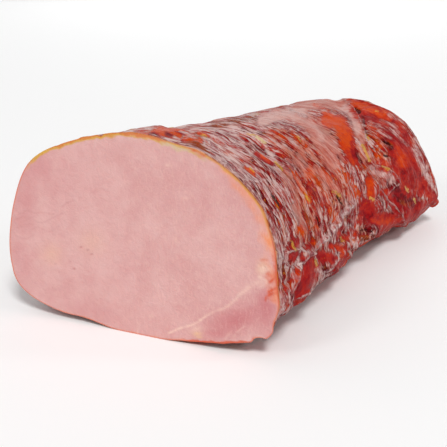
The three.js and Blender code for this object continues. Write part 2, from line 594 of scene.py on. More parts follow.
@dataclass(frozen=True)
class SmokedSkin:
    """Wet smoked outside: red-brown meat under a shrivelled, pale mauve membrane, with its glints, sheen and
    valley shade painted.
    """

    maroon: Colour = srgb(96, 2, 12)
    deep_red: Colour = srgb(144, 14, 20)
    red: Colour = srgb(168, 32, 24)
    orange_red: Colour = srgb(188, 50, 16)
    orange: Colour = srgb(206, 68, 6)
    brown: Colour = srgb(150, 62, 8)
    mauve: Colour = srgb(170, 76, 72)
    tan: Colour = srgb(198, 90, 64)
    lavender: Colour = srgb(194, 140, 138)
    pink: Colour = srgb(218, 150, 128)
    grey: Colour = srgb(172, 134, 138)
    # pale: also the colour of the painted glints and of the painted sheen
    pale: Colour = srgb(236, 214, 206)
    # the smooth membrane, with its sheen painted in soft bands
    flat_dark: Colour = srgb(166, 88, 74)
    flat_light: Colour = srgb(206, 148, 134)
    # painted shade in the valleys between the folds
    shaded_slit: Colour = srgb(90, 4, 14)
    # painted shade inside the small holes
    pit: Colour = srgb(34, 8, 12)
    fat: Colour = srgb(206, 148, 52)
    cream: Colour = srgb(220, 194, 140)
    gold: Colour = srgb(206, 118, 34)
    wet_index: float = 1.35
    coat_roughness: float = 0.12
    gloss: float = 0.02
    bump: float = 0.0010  # metres
    # sizes in millimetres; wrinkles have a length and a width
    cloud_size: float = 8.0
    speck_size: float = 2.4
    tint_size: float = 10.0
    folds: Point = (10.0, 3.0)
    threads: Point = (11.0, 1.4)
    coarse_threads: Point = (8.0, 2.8)
    bands: Point = (40.0, 5.0)
    web: Point = (5.0, 2.8)

    def material(self, wrinkles: Tree, mesh: Tree, mottle: Tree) -> bpy.types.Material:
        """Makes the material.

        Args:
            wrinkles: the wrinkles group.
            mesh: the mesh group.
            mottle: the mottle group.

        Returns:
            The material, which reads what LoinSkin puts on the mesh.
        """
        sheet = Finish("smoked_skin", {"IOR": self.wet_index, "Specular IOR Level": self.gloss,
                                       "Coat Roughness": self.coat_roughness, "Coat IOR": self.wet_index})
        rise, mix, plus, times, scaled = sheet.rise, sheet.mix, sheet.plus, sheet.times, sheet.scaled
        grain = sheet.painted("grain", "Vector")
        flat, membrane, bare = sheet.painted("smooth"), sheet.painted("membrane"), sheet.painted("bare")
        warm, pale = sheet.painted("warm"), sheet.painted("pale")
        dressed = sheet.less(1.0, bare)

        def strands(group: Tree, size: Point) -> Socket:
            """A wrinkle or net group along the grain, in cells of a length and a width."""
            return sheet.group(group, Grain=grain, Length=size[0], Width=size[1])

        # meat under the membrane
        clouds = sheet.group(mottle, Place=grain, Size=self.cloud_size)
        specks = sheet.group(mottle, Place=grain, Size=self.speck_size)
        crumbs = sheet.noise(grain, 0.9, 3.0, 0.6, 0.4)
        tone = plus(scaled(sheet.painted("tone"), 0.5, 0.5), scaled(clouds, 0.44, -0.22))
        fine = scaled(specks, 0.28, scaled(crumbs, 0.9, -0.59))
        tone = scaled(fine, scaled(dressed, 0.5, 0.5), tone)
        meat = sheet.ramp(tone, (0.0, self.maroon), (0.25, self.deep_red), (0.5, self.red),
                          (0.75, self.orange_red), (1.0, self.orange))
        browned = rise(scaled(specks, 0.5, sheet.painted("brown")), 0.4, 1.1)
        meat = mix(times(browned, 0.8), meat, self.brown)

        # membrane in stretched folds with lens-shaped holes, and threads along it
        folds, threads = strands(wrinkles, self.folds), strands(wrinkles, self.threads)
        hairs = sheet.stretched_noise(grain, (0.34, 0.34, 0.85), 0.65, 0.4)
        threads = plus(threads, scaled(hairs, 2.4, -1.2))
        coarse = scaled(strands(wrinkles, self.coarse_threads), 1.6, -0.25)
        threads = scaled(sheet.painted("broad"), sheet.less(coarse, threads), threads)
        height = scaled(folds, 0.7, times(threads, 0.4))
        crest = scaled(sheet.painted("ridge"), 0.10, height)
        covered = times(dressed, scaled(flat, -0.6, 1.0))

        # painted shade: dark slits in the valleys between the folds
        smoke = rise(sheet.noise(grain, 0.16, 3.0, 0.6, 0.5), 0.42, 0.58)
        dark = sheet.math("MINIMUM", plus(smoke, rise(tone, 0.15, 0.5, 0.7, 0.0)), 1.0)
        shaded_slit = times(times(rise(crest, 0.14, 0.43, 1.0, 0.0), dark), covered)
        colour = mix(times(shaded_slit, 0.85), meat, self.shaded_slit)

        # the membrane's colour: darker in its valleys as painted shade and lighter on its crests as painted
        # highlight, tinted by smoke, paler where it is gathered
        middle = sheet.less(1.0, membrane)
        film = times(rise(crest, sheet.less(middle, 0.12), plus(middle, 0.12)), covered)
        tint = sheet.group(mottle, Place=grain, Size=self.tint_size)
        tint = plus(tint, scaled(warm, 0.8, -0.25))
        valley_shaded_film, crest_lit_film = mix(tint, self.mauve, self.tan), mix(tint, self.lavender, self.pink)
        film_colour = mix(rise(threads, 0.15, 0.75), valley_shaded_film, crest_lit_film)
        film_colour = mix(times(pale, 0.7), film_colour, self.grey)
        web = strands(mesh, self.web)
        # painted glints: pale highlights on the threads, and on the web where the membrane is gathered
        painted_glint = rise(scaled(warm, -0.25, threads), 0.60, 0.92)
        painted_glint = sheet.math("MAXIMUM", painted_glint, times(times(web, pale), 0.5))
        film_colour = mix(times(painted_glint, 0.9), film_colour, self.pale)
        cover = rise(threads, 0.0, 0.7, 0.3, scaled(warm, -0.25, 0.9))
        cover = times(film, plus(cover, times(pale, scaled(web, 0.65, -0.35))))
        colour = mix(cover, colour, film_colour)
        # more painted glint, in lavender, where the membrane lies
        colour = mix(times(times(painted_glint, covered), 0.45), colour, self.lavender)

        # scattered flecks of smoke-gilded fat where the membrane is open
        flecks = rise(sheet.stretched_noise(grain, (0.28, 0.28, 0.62), 0.65, 0.3), 0.60, 0.68)
        flecks = times(flecks, times(scaled(cover, -0.8, 1.0), covered))
        colour = mix(times(flecks, 0.65), colour, self.gold)

        # smooth stretches where the membrane lies flat, with a pinkish sheen painted on in soft bands
        bands = plus(times(strands(wrinkles, self.bands), 0.6), times(threads, 0.45))
        flat_colour = sheet.ramp(bands, (0.1, self.flat_dark), (0.9, self.flat_light))
        flat_colour = mix(times(pale, 0.5), flat_colour, self.pale)
        colour = mix(times(times(flat, membrane), times(dressed, 0.8)), colour, flat_colour)

        # thin lines where the membrane is gathered
        line = sheet.math("ABSOLUTE", plus(sheet.painted("line_side"), scaled(specks, 0.9, -0.45)))
        line = times(rise(line, 0.2, 0.6, 1.0, 0.0), sheet.painted("line_near"))
        line_colour = mix(rise(threads, 0.1, 1.2), self.grey, self.pale)
        colour = mix(times(line, rise(threads, 0.0, 0.6, 0.4, 0.85)), colour, line_colour)

        # fat, pits painted near-black as the shade in them, and the golden edge of the cut
        ragged = scaled(crumbs, 2.0, -1.0)
        fat = rise(plus(sheet.painted("fat"), ragged), 0.35, 0.75)
        colour = mix(times(fat, 0.85), colour, mix(sheet.painted("cream"), self.fat, self.cream))
        pit = rise(plus(sheet.painted("pit"), ragged), 0.35, 0.9)
        colour = mix(times(pit, 0.85), colour, self.pit)
        colour = mix(sheet.painted("rim"), colour, self.gold)

        relief = times(plus(height, times(film, 0.35)), sheet.less(1.0, flat))
        relief = plus(plus(relief, times(line, 0.5)), times(crumbs, 0.5))
        return sheet.finished(relief, self.bump, 1.0, Base_Color=colour, Roughness=scaled(cover, 0.16, 0.26),
                              Coat_Weight=scaled(cover, 0.30, 0.02))


class Layer(Enum):
    """What shows on the cut face over its plain meat, by the name under which the mesh carries it."""

    ROSY = "rosy"
    HALO = "halo"
    STAIN = "stain"
    SEAM = "seam"
    FAT = "fat"
    CRACK = "crack"
    RIM = "rim"
    STRIP = "strip"
    GOLD = "gold"
    BLOTCH = "blotch"


@dataclass(frozen=True)
class CutMeat:
    """Moist pale pink meat where the loin is cut across, with a colour for each layer on it."""

    pale: Colour = srgb(219, 173, 169)
    pink: Colour = srgb(208, 152, 149)
    rosy: Colour = srgb(196, 118, 121)
    seam: Colour = srgb(236, 202, 186)
    fat: Colour = srgb(230, 190, 140)
    stain: Colour = srgb(228, 180, 140)
    halo: Colour = srgb(232, 142, 96)
    rim: Colour = srgb(206, 92, 60)
    gold: Colour = srgb(208, 156, 46)
    strip: Colour = srgb(204, 184, 140)
    blotch: Colour = srgb(206, 76, 34)
    crack: Colour = srgb(186, 120, 118)
    glow: float = 0.2  # how much light goes through the meat
    glow_reach: float = 0.003  # metres
    glow_spread: Place = (1.0, 0.45, 0.35)
    cloud_size: float = 22.0  # millimetres
    grain_size: float = 2.6  # millimetres
    fibre_length: float = 0.8  # millimetres
    fibre_width: float = 3.0  # millimetres
    bump: float = 0.00022  # metres
    bump_strength: float = 0.6

    def material(self, wrinkles: Tree, mottle: Tree) -> bpy.types.Material:
        """Makes the material.

        Args:
            wrinkles: the wrinkles group, whose wrinkles are fibres here.
            mottle: the mottle group.

        Returns:
            The material, which reads what CutFace puts on the mesh.
        """
        sheet = Finish("cut_meat", {"Subsurface Weight": self.glow, "Subsurface Radius": self.glow_spread,
                                    "Subsurface Scale": self.glow_reach})
        place = sheet.painted("grain", "Vector")
        clouds = sheet.group(mottle, Place=place, Size=self.cloud_size)
        grains = sheet.group(mottle, Place=place, Size=self.grain_size)
        fibres = sheet.group(wrinkles, Grain=place, Length=self.fibre_length, Width=self.fibre_width)
        fleck = sheet.times(sheet.rise(fibres, 0.72, 0.95), sheet.painted("fibrous"))
        tone = sheet.scaled(clouds, 0.38, sheet.scaled(grains, 0.14, 0.045))
        colour = sheet.ramp(tone, (0.05, self.pink), (0.6, self.pale))
        for layer in Layer:
            share = sheet.painted(layer.value)
            if layer is Layer.ROSY:
                share = sheet.times(share, sheet.scaled(clouds, -0.3, 1.1))
            colour = sheet.mix(share, colour, getattr(self, layer.value))
            if layer is Layer.HALO:
                colour = sheet.mix(sheet.times(fleck, 0.14), colour, self.seam)
        relief = sheet.plus(grains, sheet.times(fibres, 0.5))
        relief = sheet.less(relief, sheet.times(sheet.painted("crack"), 1.2))
        roughness = sheet.scaled(grains, 0.14, 0.40)
        return sheet.finished(relief, self.bump, self.bump_strength, Base_Color=colour, Roughness=roughness)


# ---------------------------------------------------------------------------------------------- marks


class Kind(Enum):
    """What a mark on the skin shows."""

    MAROON = "dark red meat"
    RED = "red meat"
    ORANGE = "orange, well smoked meat"
    MEMBRANE = "pale wrinkled membrane"
    BARE = "meat with no membrane on it"
    # its pinkish sheen is painted
    SHEEN = "smooth, pinkish membrane"
    FAT = "yellow fat"
    CREAM = "cream fat"
    # its darkness is painted shade
    PIT = "small dark hole"
    # on the far lobe's right edge it paints a sheen
    PALE = "gathered, lavender-grey membrane"
    BROWN = "smoke-browned meat"
    WARM = "membrane stained by the smoke"
    # over the back it paints a sheen
    HAZE = "whitish membrane"


# the values that each kind of mark pulls the skin to
KIND_VALUES: dict[Kind, dict[str, float]] = {
    Kind.MAROON: {"tone": -0.9, "smooth": 0.0, "membrane": 0.26, "brown": 0.0},
    Kind.RED: {"tone": -0.2, "membrane": 0.25},
    Kind.ORANGE: {"tone": 0.95, "membrane": 0.25},
    Kind.MEMBRANE: {"membrane": 0.85, "bare": 0.0, "smooth": 0.0},
    Kind.BARE: {"membrane": 0.06, "smooth": 0.85, "bare": 1.0, "brown": 0.0},
    Kind.SHEEN: {"membrane": 0.8, "smooth": 1.0, "bare": 0.0},
    Kind.FAT: {"fat": 1.0, "cream": 0.1},
    Kind.CREAM: {"fat": 1.0, "cream": 1.0},
    Kind.PIT: {"pit": 1.0},
    Kind.BROWN: {"brown": 1.0},
    Kind.WARM: {"warm": 1.0},
    Kind.HAZE: {"pale": 1.0},
    Kind.PALE: {"pale": 1.0, "membrane": 0.62, "bare": 0.0, "smooth": 0.0, "warm": 0.0},
}


def rounded_path(points: Path, steps: int = 6) -> np.ndarray:
    """Runs a smooth curve through points.

    Args:
        points: the points, in order.
        steps: how many pieces there are between two points.

    Returns:
        The curve's points.
    """
    known = np.array(points, dtype=float)
    padded = np.vstack([2 * known[0] - known[1], known, 2 * known[-1] - known[-2]])
    curve = []
    for i in range(1, len(padded) - 2):
        before, start, end, after = padded[i - 1 : i + 3]
        bend = 2 * before - 5 * start + 4 * end - after
        twist = -before + 3 * start - 3 * end + after
        for part in np.arange(steps) / steps:
            curve.append(start + 0.5 * part * ((end - before) + part * (bend + part * twist)))
    return np.array(curve + [known[-1]])


def side_of_path(path: np.ndarray, places: np.ndarray, limit: float) -> tuple[np.ndarray, np.ndarray]:
    """Measures how far places are from a path, and on which side of it.

    Args:
        path: the path's points.
        places: the places to measure.
        limit: how far from the path it matters; what is farther counts as a thousand times the limit away.

    Returns:
        The distance, and the same distance with a sign that changes across the path.
    """
    inside = np.all((places > path.min(axis=0) - limit) & (places < path.max(axis=0) + limit), axis=-1)
    far = np.full(places.shape[:-1], 1000.0 * limit)
    far_side = far.copy()
    places = places[inside]
    nearest = np.full(len(places), 1000.0 * limit)
    side = np.ones(len(places))
    for start, end in zip(path[:-1], path[1:]):
        step = end - start
        offset = places - start
        part = np.clip((offset @ step) / (step @ step), 0.0, 1.0)
        away = np.linalg.norm(offset - part[..., None] * step, axis=-1)
        turn = np.where(step[0] * offset[..., 1] - step[1] * offset[..., 0] > 0, 1.0, -1.0)
        closer = away < nearest
        nearest = np.where(closer, away, nearest)
        side = np.where(closer, turn, side)
    far[inside] = nearest
    far_side[inside] = nearest * side
    return far, far_side


@dataclass(frozen=True)
class Stroke:
    """A stroke of something on the skin or the cut face, along a path of the photograph's pixels."""

    shows: Kind | Layer
    width: float  # half width in pixels
    strength: float
    points: Path

    def ragged_share(self, pixels: np.ndarray, ragged: np.ndarray) -> np.ndarray:
        """How strongly the stroke shows at places in the photograph if its edge is ragged.

        Args:
            pixels: the places.
            ragged: noise there, which makes the edge uneven.

        Returns:
            1 inside, falling to 0 past the edge, times the stroke's strength.
        """
        away, _ = side_of_path(rounded_path(self.points, 3), pixels, 2.5 * self.width)
        return self.strength * (1.0 - smooth_step(0.6, 1.25, away / self.width * (1.0 + 0.4 * ragged)))

    def soft_share(self, pixels: np.ndarray) -> np.ndarray:
        """How strongly the stroke shows at places in the photograph if it fades out softly.

        Args:
            pixels: the places.

        Returns:
            1 on the path, falling to 0 away from it, times the stroke's strength.
        """
        away, _ = side_of_path(rounded_path(self.points), pixels, 4.0 * self.width)
        return self.strength * np.exp(-((away / self.width) ** 2))


def strokes(shows: Kind | Layer, *rows: tuple[float | Point, ...]) -> tuple[Stroke, ...]:
    """Strokes that show the same, each from its half width, its strength and its points."""
    return tuple(Stroke(shows, row[0], row[1], row[2:]) for row in rows)


@dataclass(frozen=True)
class Fold:
    """A raised or sunk line on the skin, through points in the photograph's pixels."""

    line: float  # how clearly a pale line marks it
    step: float  # millimetres by which the skin lies lower past the line
    width: float  # half width in pixels
    height: float  # millimetres, negative for a furrow
    points: Path


def folds(line: float, step: float, *rows: tuple[float | Point, ...]) -> tuple[Fold, ...]:
    """Folds with the same line and step, each from its half width, its height and its points."""
    return tuple(Fold(line, step, row[0], row[1], row[2:]) for row in rows)


# ragged orange-brown flaps over the cut's upper edge, and the wrinkled skin next to the cut
NEAR_CUT_MARKS = (
    *strokes(Kind.FAT, (1.4, 0.8, (128, 132), (136, 131)), (1.2, 0.6, (200, 137), (206, 140)),
        (1.2, 0.5, (254, 115), (259, 114)), (1.1, 0.9, (247, 134), (254, 135)),
        (1.6, 0.9, (275, 162), (278, 165), (281, 170)), (1.2, 0.6, (297, 136), (300, 140)),
        (1.2, 0.7, (250, 168), (253, 172)), (1.2, 0.7, (272, 199), (276, 206)),
        (1.3, 0.7, (291, 241), (293, 250))),
    *strokes(Kind.PALE, (1.8, 0.8, (206, 127), (226, 131), (240, 138)),
        (3.0, 0.8, (236, 176), (248, 194), (262, 218))),
    *strokes(Kind.MAROON, (4.0, 0.9, (212, 122), (232, 121), (250, 117)),
        (2.4, 1.0, (260, 198), (270, 209)), (2.8, 0.8, (266, 190), (280, 212), (284, 224))),
    *strokes(Kind.BROWN, (4.0, 1.0, (214, 125), (236, 123), (254, 118)),
        (2.4, 0.8, (279, 216), (284, 234))),
    *strokes(Kind.PIT, (1.3, 1.0, (270, 196), (277, 206)), (1.1, 0.8, (262, 201), (267, 207))),
    *strokes(Kind.CREAM, (1.8, 0.8, (256, 137), (261, 140), (265, 143))),
    *strokes(Kind.BARE, (5.5, 1.0, (122, 131), (140, 130), (160, 130), (178, 134), (192, 142), (204, 150))),
    *strokes(Kind.ORANGE,
        (5.0, 1.0, (122, 131), (140, 130), (160, 130), (178, 134), (192, 142), (204, 150))),
    *strokes(Kind.RED, (2.8, 1.0, (277, 141), (284, 145), (291, 150)),
        (4.0, 0.8, (276, 205), (284, 222), (287, 236))),
    *strokes(Kind.MAROON, (1.6, 0.8, (122, 133), (134, 132)), (1.2, 0.7, (150, 134), (158, 135)),
        (1.8, 1.0, (242, 129), (264, 134)), (2.6, 1.0, (296, 153), (301, 158), (306, 165))),
    *strokes(Kind.BROWN,
        (5.5, 0.35, (122, 131), (140, 130), (160, 130), (178, 134), (192, 142), (204, 150))),
    *strokes(Kind.PALE, (1.6, 1.0, (146, 131), (155, 129)), (2.0, 1.0, (183, 139), (190, 140)),
        (1.0, 0.8, (164, 130), (170, 130))),
    *strokes(Kind.BARE, (4.2, 1.0, (156, 129), (170, 128), (182, 131), (186, 136))),
    *strokes(Kind.ORANGE, (4.0, 1.0, (156, 129), (170, 128), (182, 131), (186, 136)),
        (1.8, 1.0, (198, 135), (208, 139)), (2.6, 1.0, (292, 133), (299, 139), (305, 147))),
    *strokes(Kind.MAROON, (1.3, 0.9, (176, 133), (184, 138)), (2.2, 0.9, (194, 148), (204, 154))),
    *strokes(Kind.BROWN, (3.0, 1.0, (188, 146), (196, 150), (204, 156)),
        (2.6, 0.9, (197, 137), (208, 142))),
    *strokes(Kind.BARE, (1.6, 0.8, (198, 135), (208, 139))),
    *strokes(Kind.PALE, (1.1, 0.8, (174, 137), (180, 141)), (2.0, 1.0, (143, 129), (156, 128)),
        (4.6, 1.0, (205, 147), (218, 156), (232, 170)), (3.0, 0.8, (214, 140), (226, 145), (238, 152))),
    *strokes(Kind.MAROON, (1.1, 0.8, (166, 134), (172, 136)),
        (1.8, 0.8, (216, 134), (230, 137), (240, 142)), (4.0, 1.0, (243, 148), (256, 149), (266, 154))),
    *strokes(Kind.PALE, (3.0, 1.0, (181, 131), (187, 136), (194, 140))),
    *strokes(Kind.RED, (6.0, 0.6, (240, 149), (256, 159))),
    *strokes(Kind.MAROON, (2.6, 0.7, (243, 153), (255, 158))),
    *strokes(Kind.RED, (4.0, 1.0, (256, 154), (264, 159), (274, 165))),
    *strokes(Kind.BARE, (2.6, 1.0, (256, 154), (264, 159), (272, 164))),
    *strokes(Kind.ORANGE, (1.8, 0.8, (262, 155), (269, 162))),
    *strokes(Kind.MAROON, (4.0, 1.0, (254, 161), (262, 170), (270, 181)),
        (2.2, 1.0, (275, 155), (285, 161), (296, 170))),
    *strokes(Kind.RED, (4.0, 0.6, (257, 165), (267, 173)), (2.8, 1.0, (273, 173), (280, 181))),
    *strokes(Kind.ORANGE, (3.4, 1.0, (245, 169), (254, 176))),
    *strokes(Kind.BARE, (2.4, 1.0, (246, 170), (253, 175))),
)

# the smooth pinkish band over the back, with its sheen painted on, and the orange patch in it
BACK_MARKS = (
    # painted sheen: pale haze and streaks along the top of the back
    *strokes(Kind.HAZE, (6.0, 0.8, (262, 120), (282, 114), (300, 114)),
        (5.0, 0.9, (347, 107), (353, 118), (357, 130)), (3.0, 0.4, (296, 112), (310, 122), (322, 140))),
    *strokes(Kind.FAT, (1.1, 0.9, (362, 145), (366, 153), (370, 161))),
    *strokes(Kind.PALE, (3.0, 0.5, (262, 119), (280, 113), (298, 113)),
        (1.6, 1.0, (286, 107), (296, 111), (304, 116))),
    *strokes(Kind.PIT, (2.2, 1.0, (355, 105), (360, 108))),
    *strokes(Kind.SHEEN, (6.0, 1.0, (262, 121), (285, 113), (302, 110)),
        (8.0, 1.0, (296, 113), (312, 128), (326, 150), (334, 164)),
        (7.0, 1.0, (302, 105), (325, 102), (343, 103)),
        (5.0, 1.0, (345, 106), (353, 115), (358, 128), (361, 140))),
    *strokes(Kind.ORANGE, (1.8, 0.8, (314, 105), (328, 110))),
    *strokes(Kind.SHEEN, (4.5, 0.9, (320, 122), (331, 142), (340, 160))),
    *strokes(Kind.RED, (2.0, 1.0, (309, 143), (318, 160)),
        (8.0, 1.0, (328, 120), (339, 124), (345, 134), (348, 146), (353, 158))),
    *strokes(Kind.ORANGE, (7.0, 0.45, (346, 142), (352, 158)),
        (8.0, 1.0, (328, 120), (338, 124), (344, 134), (346, 142))),
    *strokes(Kind.BARE, (7.4, 1.0, (328, 120), (339, 124), (345, 134), (348, 146), (353, 158))),
    *strokes(Kind.RED, (2.6, 1.0, (352, 143), (354, 157))),
    *strokes(Kind.MAROON, (1.5, 0.8, (337, 156), (344, 168)), (2.2, 1.0, (356, 150), (361, 163))),
    *strokes(Kind.MEMBRANE, (2.2, 1.0, (357, 140), (361, 152), (367, 163))),
)

# the flank below the band, stained by the smoke
FLANK_MARKS = (
    *strokes(Kind.FAT, (1.3, 0.8, (304, 195), (308, 202)), (2.0, 0.6, (333, 192), (340, 196))),
    *strokes(Kind.MEMBRANE, (5.0, 0.4, (284, 162), (298, 174))),
    *strokes(Kind.PIT, (1.7, 1.0, (317, 218), (321, 226)), (1.5, 1.0, (337, 197), (342, 204))),
    *strokes(Kind.SHEEN, (5.5, 0.55, (284, 175), (297, 188)), (5.5, 0.6, (299, 160), (310, 174)),
        (5.0, 0.45, (313, 188), (325, 202))),
    *strokes(Kind.HAZE, (6.0, 0.7, (284, 162), (298, 174))),
    *strokes(Kind.ORANGE, (3.0, 1.0, (294, 173), (302, 188), (308, 202)),
        (4.0, 0.8, (308, 172), (318, 186), (328, 196)), (4.0, 0.9, (340, 170), (350, 184), (356, 196))),
    *strokes(Kind.RED, (5.5, 1.0, (309, 185), (322, 203), (336, 216))),
    *strokes(Kind.ORANGE, (2.6, 1.0, (322, 168), (330, 182)), (4.0, 1.0, (331, 210), (334, 219))),
    *strokes(Kind.SHEEN, (3.6, 0.8, (294, 206), (302, 228)), (3.4, 0.7, (316, 168), (336, 190))),
    *strokes(Kind.MAROON, (1.8, 0.8, (345, 198), (352, 214)), (4.0, 0.5, (341, 204), (350, 214))),
    *strokes(Kind.ORANGE, (5.0, 1.0, (298, 230), (318, 244))),
    *strokes(Kind.RED, (3.4, 1.0, (309, 236), (318, 241))),
    *strokes(Kind.ORANGE, (3.0, 1.0, (311, 227), (318, 229))),
    *strokes(Kind.WARM, (14.0, 1.0, (290, 160), (304, 190), (310, 222), (312, 240)),
        (14.0, 1.0, (306, 150), (326, 178), (338, 200), (344, 214))),
)

# the dark red lobe at the far end, with a sheen painted down its right edge
FAR_LOBE_MARKS = (
    *strokes(Kind.BARE, (14.0, 0.9, (362, 106), (385, 120), (402, 150), (412, 180))),
    *strokes(Kind.FAT, (1.2, 0.7, (367, 133), (370, 138)), (1.4, 0.8, (384, 166), (389, 169)),
        (1.5, 0.7, (406, 187), (408, 191)), (1.5, 0.7, (413, 199), (415, 203)),
        (1.2, 0.6, (376, 110), (379, 111))),
    *strokes(Kind.RED, (14.0, 1.0, (366, 110), (388, 124), (402, 150), (412, 180))),
    *strokes(Kind.ORANGE, (4.0, 0.8, (352, 103), (371, 107), (390, 117)),
        (7.0, 0.55, (370, 126), (380, 146), (386, 160)), (5.0, 0.5, (398, 150), (406, 165))),
    # pale streaks; those down the right edge paint its sheen
    *strokes(Kind.PALE, (2.4, 0.65, (370, 121), (384, 127), (398, 133)),
        (1.4, 0.55, (378, 129), (392, 137)), (2.2, 0.6, (382, 119), (396, 127)),
        (1.8, 0.5, (397, 135), (408, 145)), (3.0, 0.6, (390, 115), (405, 122), (416, 135), (421, 150)),
        (4.2, 0.8, (416, 148), (421, 162), (427, 174)), (1.8, 0.8, (427, 176), (432, 186))),
    *strokes(Kind.PIT, (1.9, 1.0, (386, 140), (391, 143)), (1.4, 1.0, (371, 148), (375, 151)),
        (0.9, 0.7, (366, 125), (368, 131)), (0.9, 0.8, (373, 145), (376, 148)),
        (1.5, 1.0, (386, 154), (389, 155))),
    *strokes(Kind.MAROON, (1.2, 0.9, (363, 114), (366, 124), (368, 133))),
    *strokes(Kind.RED, (4.5, 0.9, (370, 162), (382, 169))),
    *strokes(Kind.BARE, (4.0, 0.4, (370, 162), (382, 169)), (5.0, 0.5, (383, 162), (394, 171))),
    *strokes(Kind.BROWN, (4.0, 0.8, (384, 138), (391, 146))),
    *strokes(Kind.RED, (5.0, 0.5, (383, 162), (394, 171))),
    *strokes(Kind.MAROON, (6.0, 0.35, (406, 172), (412, 184)), (5.5, 1.0, (392, 184), (400, 198)),
        (3.0, 0.7, (385, 138), (391, 147)), (3.0, 0.6, (384, 149), (390, 158))),
    *strokes(Kind.BARE, (4.0, 0.8, (394, 188), (399, 196))),
    *strokes(Kind.MAROON, (8.0, 0.55, (398, 200), (410, 212), (404, 220))),
    *strokes(Kind.BARE, (10.0, 0.8, (398, 196), (412, 206)),
        (7.0, 0.8, (384, 234), (398, 224), (412, 217), (426, 208))),
    *strokes(Kind.BROWN, (3.0, 0.45, (399, 201), (408, 205))),
    *strokes(Kind.RED, (7.0, 0.8, (384, 234), (398, 224), (412, 217), (426, 208)),
        (6.0, 0.9, (426, 189), (437, 198))),
    *strokes(Kind.BARE, (4.5, 0.85, (383, 192), (391, 201), (398, 212)),
        (6.0, 0.8, (424, 188), (436, 198))),
    *strokes(Kind.RED, (4.5, 0.6, (383, 192), (391, 201), (398, 212))),
    *strokes(Kind.BARE, (5.0, 0.7, (396, 208), (409, 214))),
    *strokes(Kind.RED, (5.5, 0.6, (396, 208), (409, 214))),
)

# the lower flank, where the membrane is gathered round bare lumps, with a painted shadow under the red lobe
LOWER_MARKS = (
    *strokes(Kind.FAT, (1.8, 0.7, (370, 198), (374, 200)), (1.5, 0.7, (339, 237), (342, 241)),
        (1.0, 0.8, (313, 260), (316, 266)), (1.2, 0.4, (283, 272), (285, 277))),
    *strokes(Kind.HAZE, (3.6, 0.7, (375, 172), (386, 175), (393, 181)), (5.0, 0.6, (300, 246), (310, 256))),
    *strokes(Kind.PALE, (3.6, 0.7, (371, 170), (380, 171), (391, 178))),
    # painted shadow: a dark pocket under the red lobe
    *strokes(Kind.PIT, (2.0, 0.7, (363, 230), (370, 231))),
    *strokes(Kind.SHEEN, (3.6, 0.6, (375, 172), (386, 175), (393, 181))),
    *strokes(Kind.ORANGE, (4.0, 0.7, (368, 181), (372, 197))),
    *strokes(Kind.BARE, (4.0, 1.0, (368, 181), (372, 197))),
    *strokes(Kind.MAROON, (6.5, 0.2, (364, 207), (368, 222))),
    *strokes(Kind.BARE, (8.0, 1.0, (366, 206), (374, 219), (386, 219))),
    *strokes(Kind.RED, (8.0, 0.8, (372, 205), (384, 214))),
    *strokes(Kind.ORANGE, (2.8, 0.45, (373, 220), (381, 223), (389, 220))),
    *strokes(Kind.PALE, (3.2, 0.8, (303, 255), (318, 245), (330, 234), (340, 218), (351, 204))),
    # the first is a painted shadow under the red lobe
    *strokes(Kind.MAROON, (3.0, 1.0, (361, 230), (374, 232)), (4.0, 0.5, (329, 232), (338, 241))),
    *strokes(Kind.BROWN, (4.0, 1.0, (360, 240), (367, 239))),
    *strokes(Kind.MEMBRANE, (5.0, 0.3, (300, 246), (310, 256))),
    *strokes(Kind.BARE, (9.0, 1.0, (311, 263), (308, 279), (299, 296))),
    *strokes(Kind.RED, (9.5, 1.0, (311, 263), (308, 279), (299, 296))),
    *strokes(Kind.MAROON, (7.0, 0.8, (282, 262), (286, 280), (290, 300))),
    *strokes(Kind.BARE, (6.0, 1.0, (320, 256), (330, 258)), (5.0, 0.5, (284, 268), (290, 276))),
    *strokes(Kind.MAROON, (4.0, 0.7, (284, 266), (288, 276))),
    *strokes(Kind.BROWN, (4.0, 0.6, (282, 268), (288, 278)), (3.4, 0.5, (282, 284), (293, 286))),
    *strokes(Kind.ORANGE, (2.4, 0.7, (281, 282), (286, 286)), (2.4, 0.7, (290, 282), (294, 287))),
    *strokes(Kind.RED, (2.2, 1.0, (284, 291), (287, 297))),
    *strokes(Kind.MAROON, (5.0, 0.4, (286, 274), (296, 284))),
    *strokes(Kind.PALE, (3.6, 1.0, (352, 238), (357, 248), (354, 256)),
        (1.2, 0.7, (288, 280), (286, 288), (290, 296)), (1.6, 0.7, (294, 276), (297, 284), (295, 300)),
        (5.0, 1.0, (278, 298), (282, 306), (284, 314)), (3.0, 0.7, (284, 256), (287, 264)),
        (3.5, 0.7, (293, 298), (290, 308), (288, 316)), (2.6, 0.7, (276, 236), (279, 250), (280, 262))),
    *strokes(Kind.RED, (7.0, 1.0, (320, 256), (330, 258))),
    *strokes(Kind.BARE, (3.4, 1.0, (331, 246), (340, 249))),
    *strokes(Kind.RED, (6.0, 0.8, (344, 246), (350, 256))),
    *strokes(Kind.ORANGE, (3.6, 0.5, (331, 246), (340, 249))),
    *strokes(Kind.BARE, (3.8, 1.0, (338, 264), (348, 261))),
    *strokes(Kind.RED, (4.4, 1.0, (338, 264), (348, 261))),
    *strokes(Kind.BARE, (3.0, 1.0, (325, 272), (330, 269))),
    *strokes(Kind.MAROON, (3.4, 0.6, (325, 272), (330, 269))),
    *strokes(Kind.PALE, (2.6, 0.8, (317, 270), (322, 279), (318, 290), (306, 299))),
)

SKIN_MARKS = NEAR_CUT_MARKS + BACK_MARKS + FLANK_MARKS + FAR_LOBE_MARKS + LOWER_MARKS

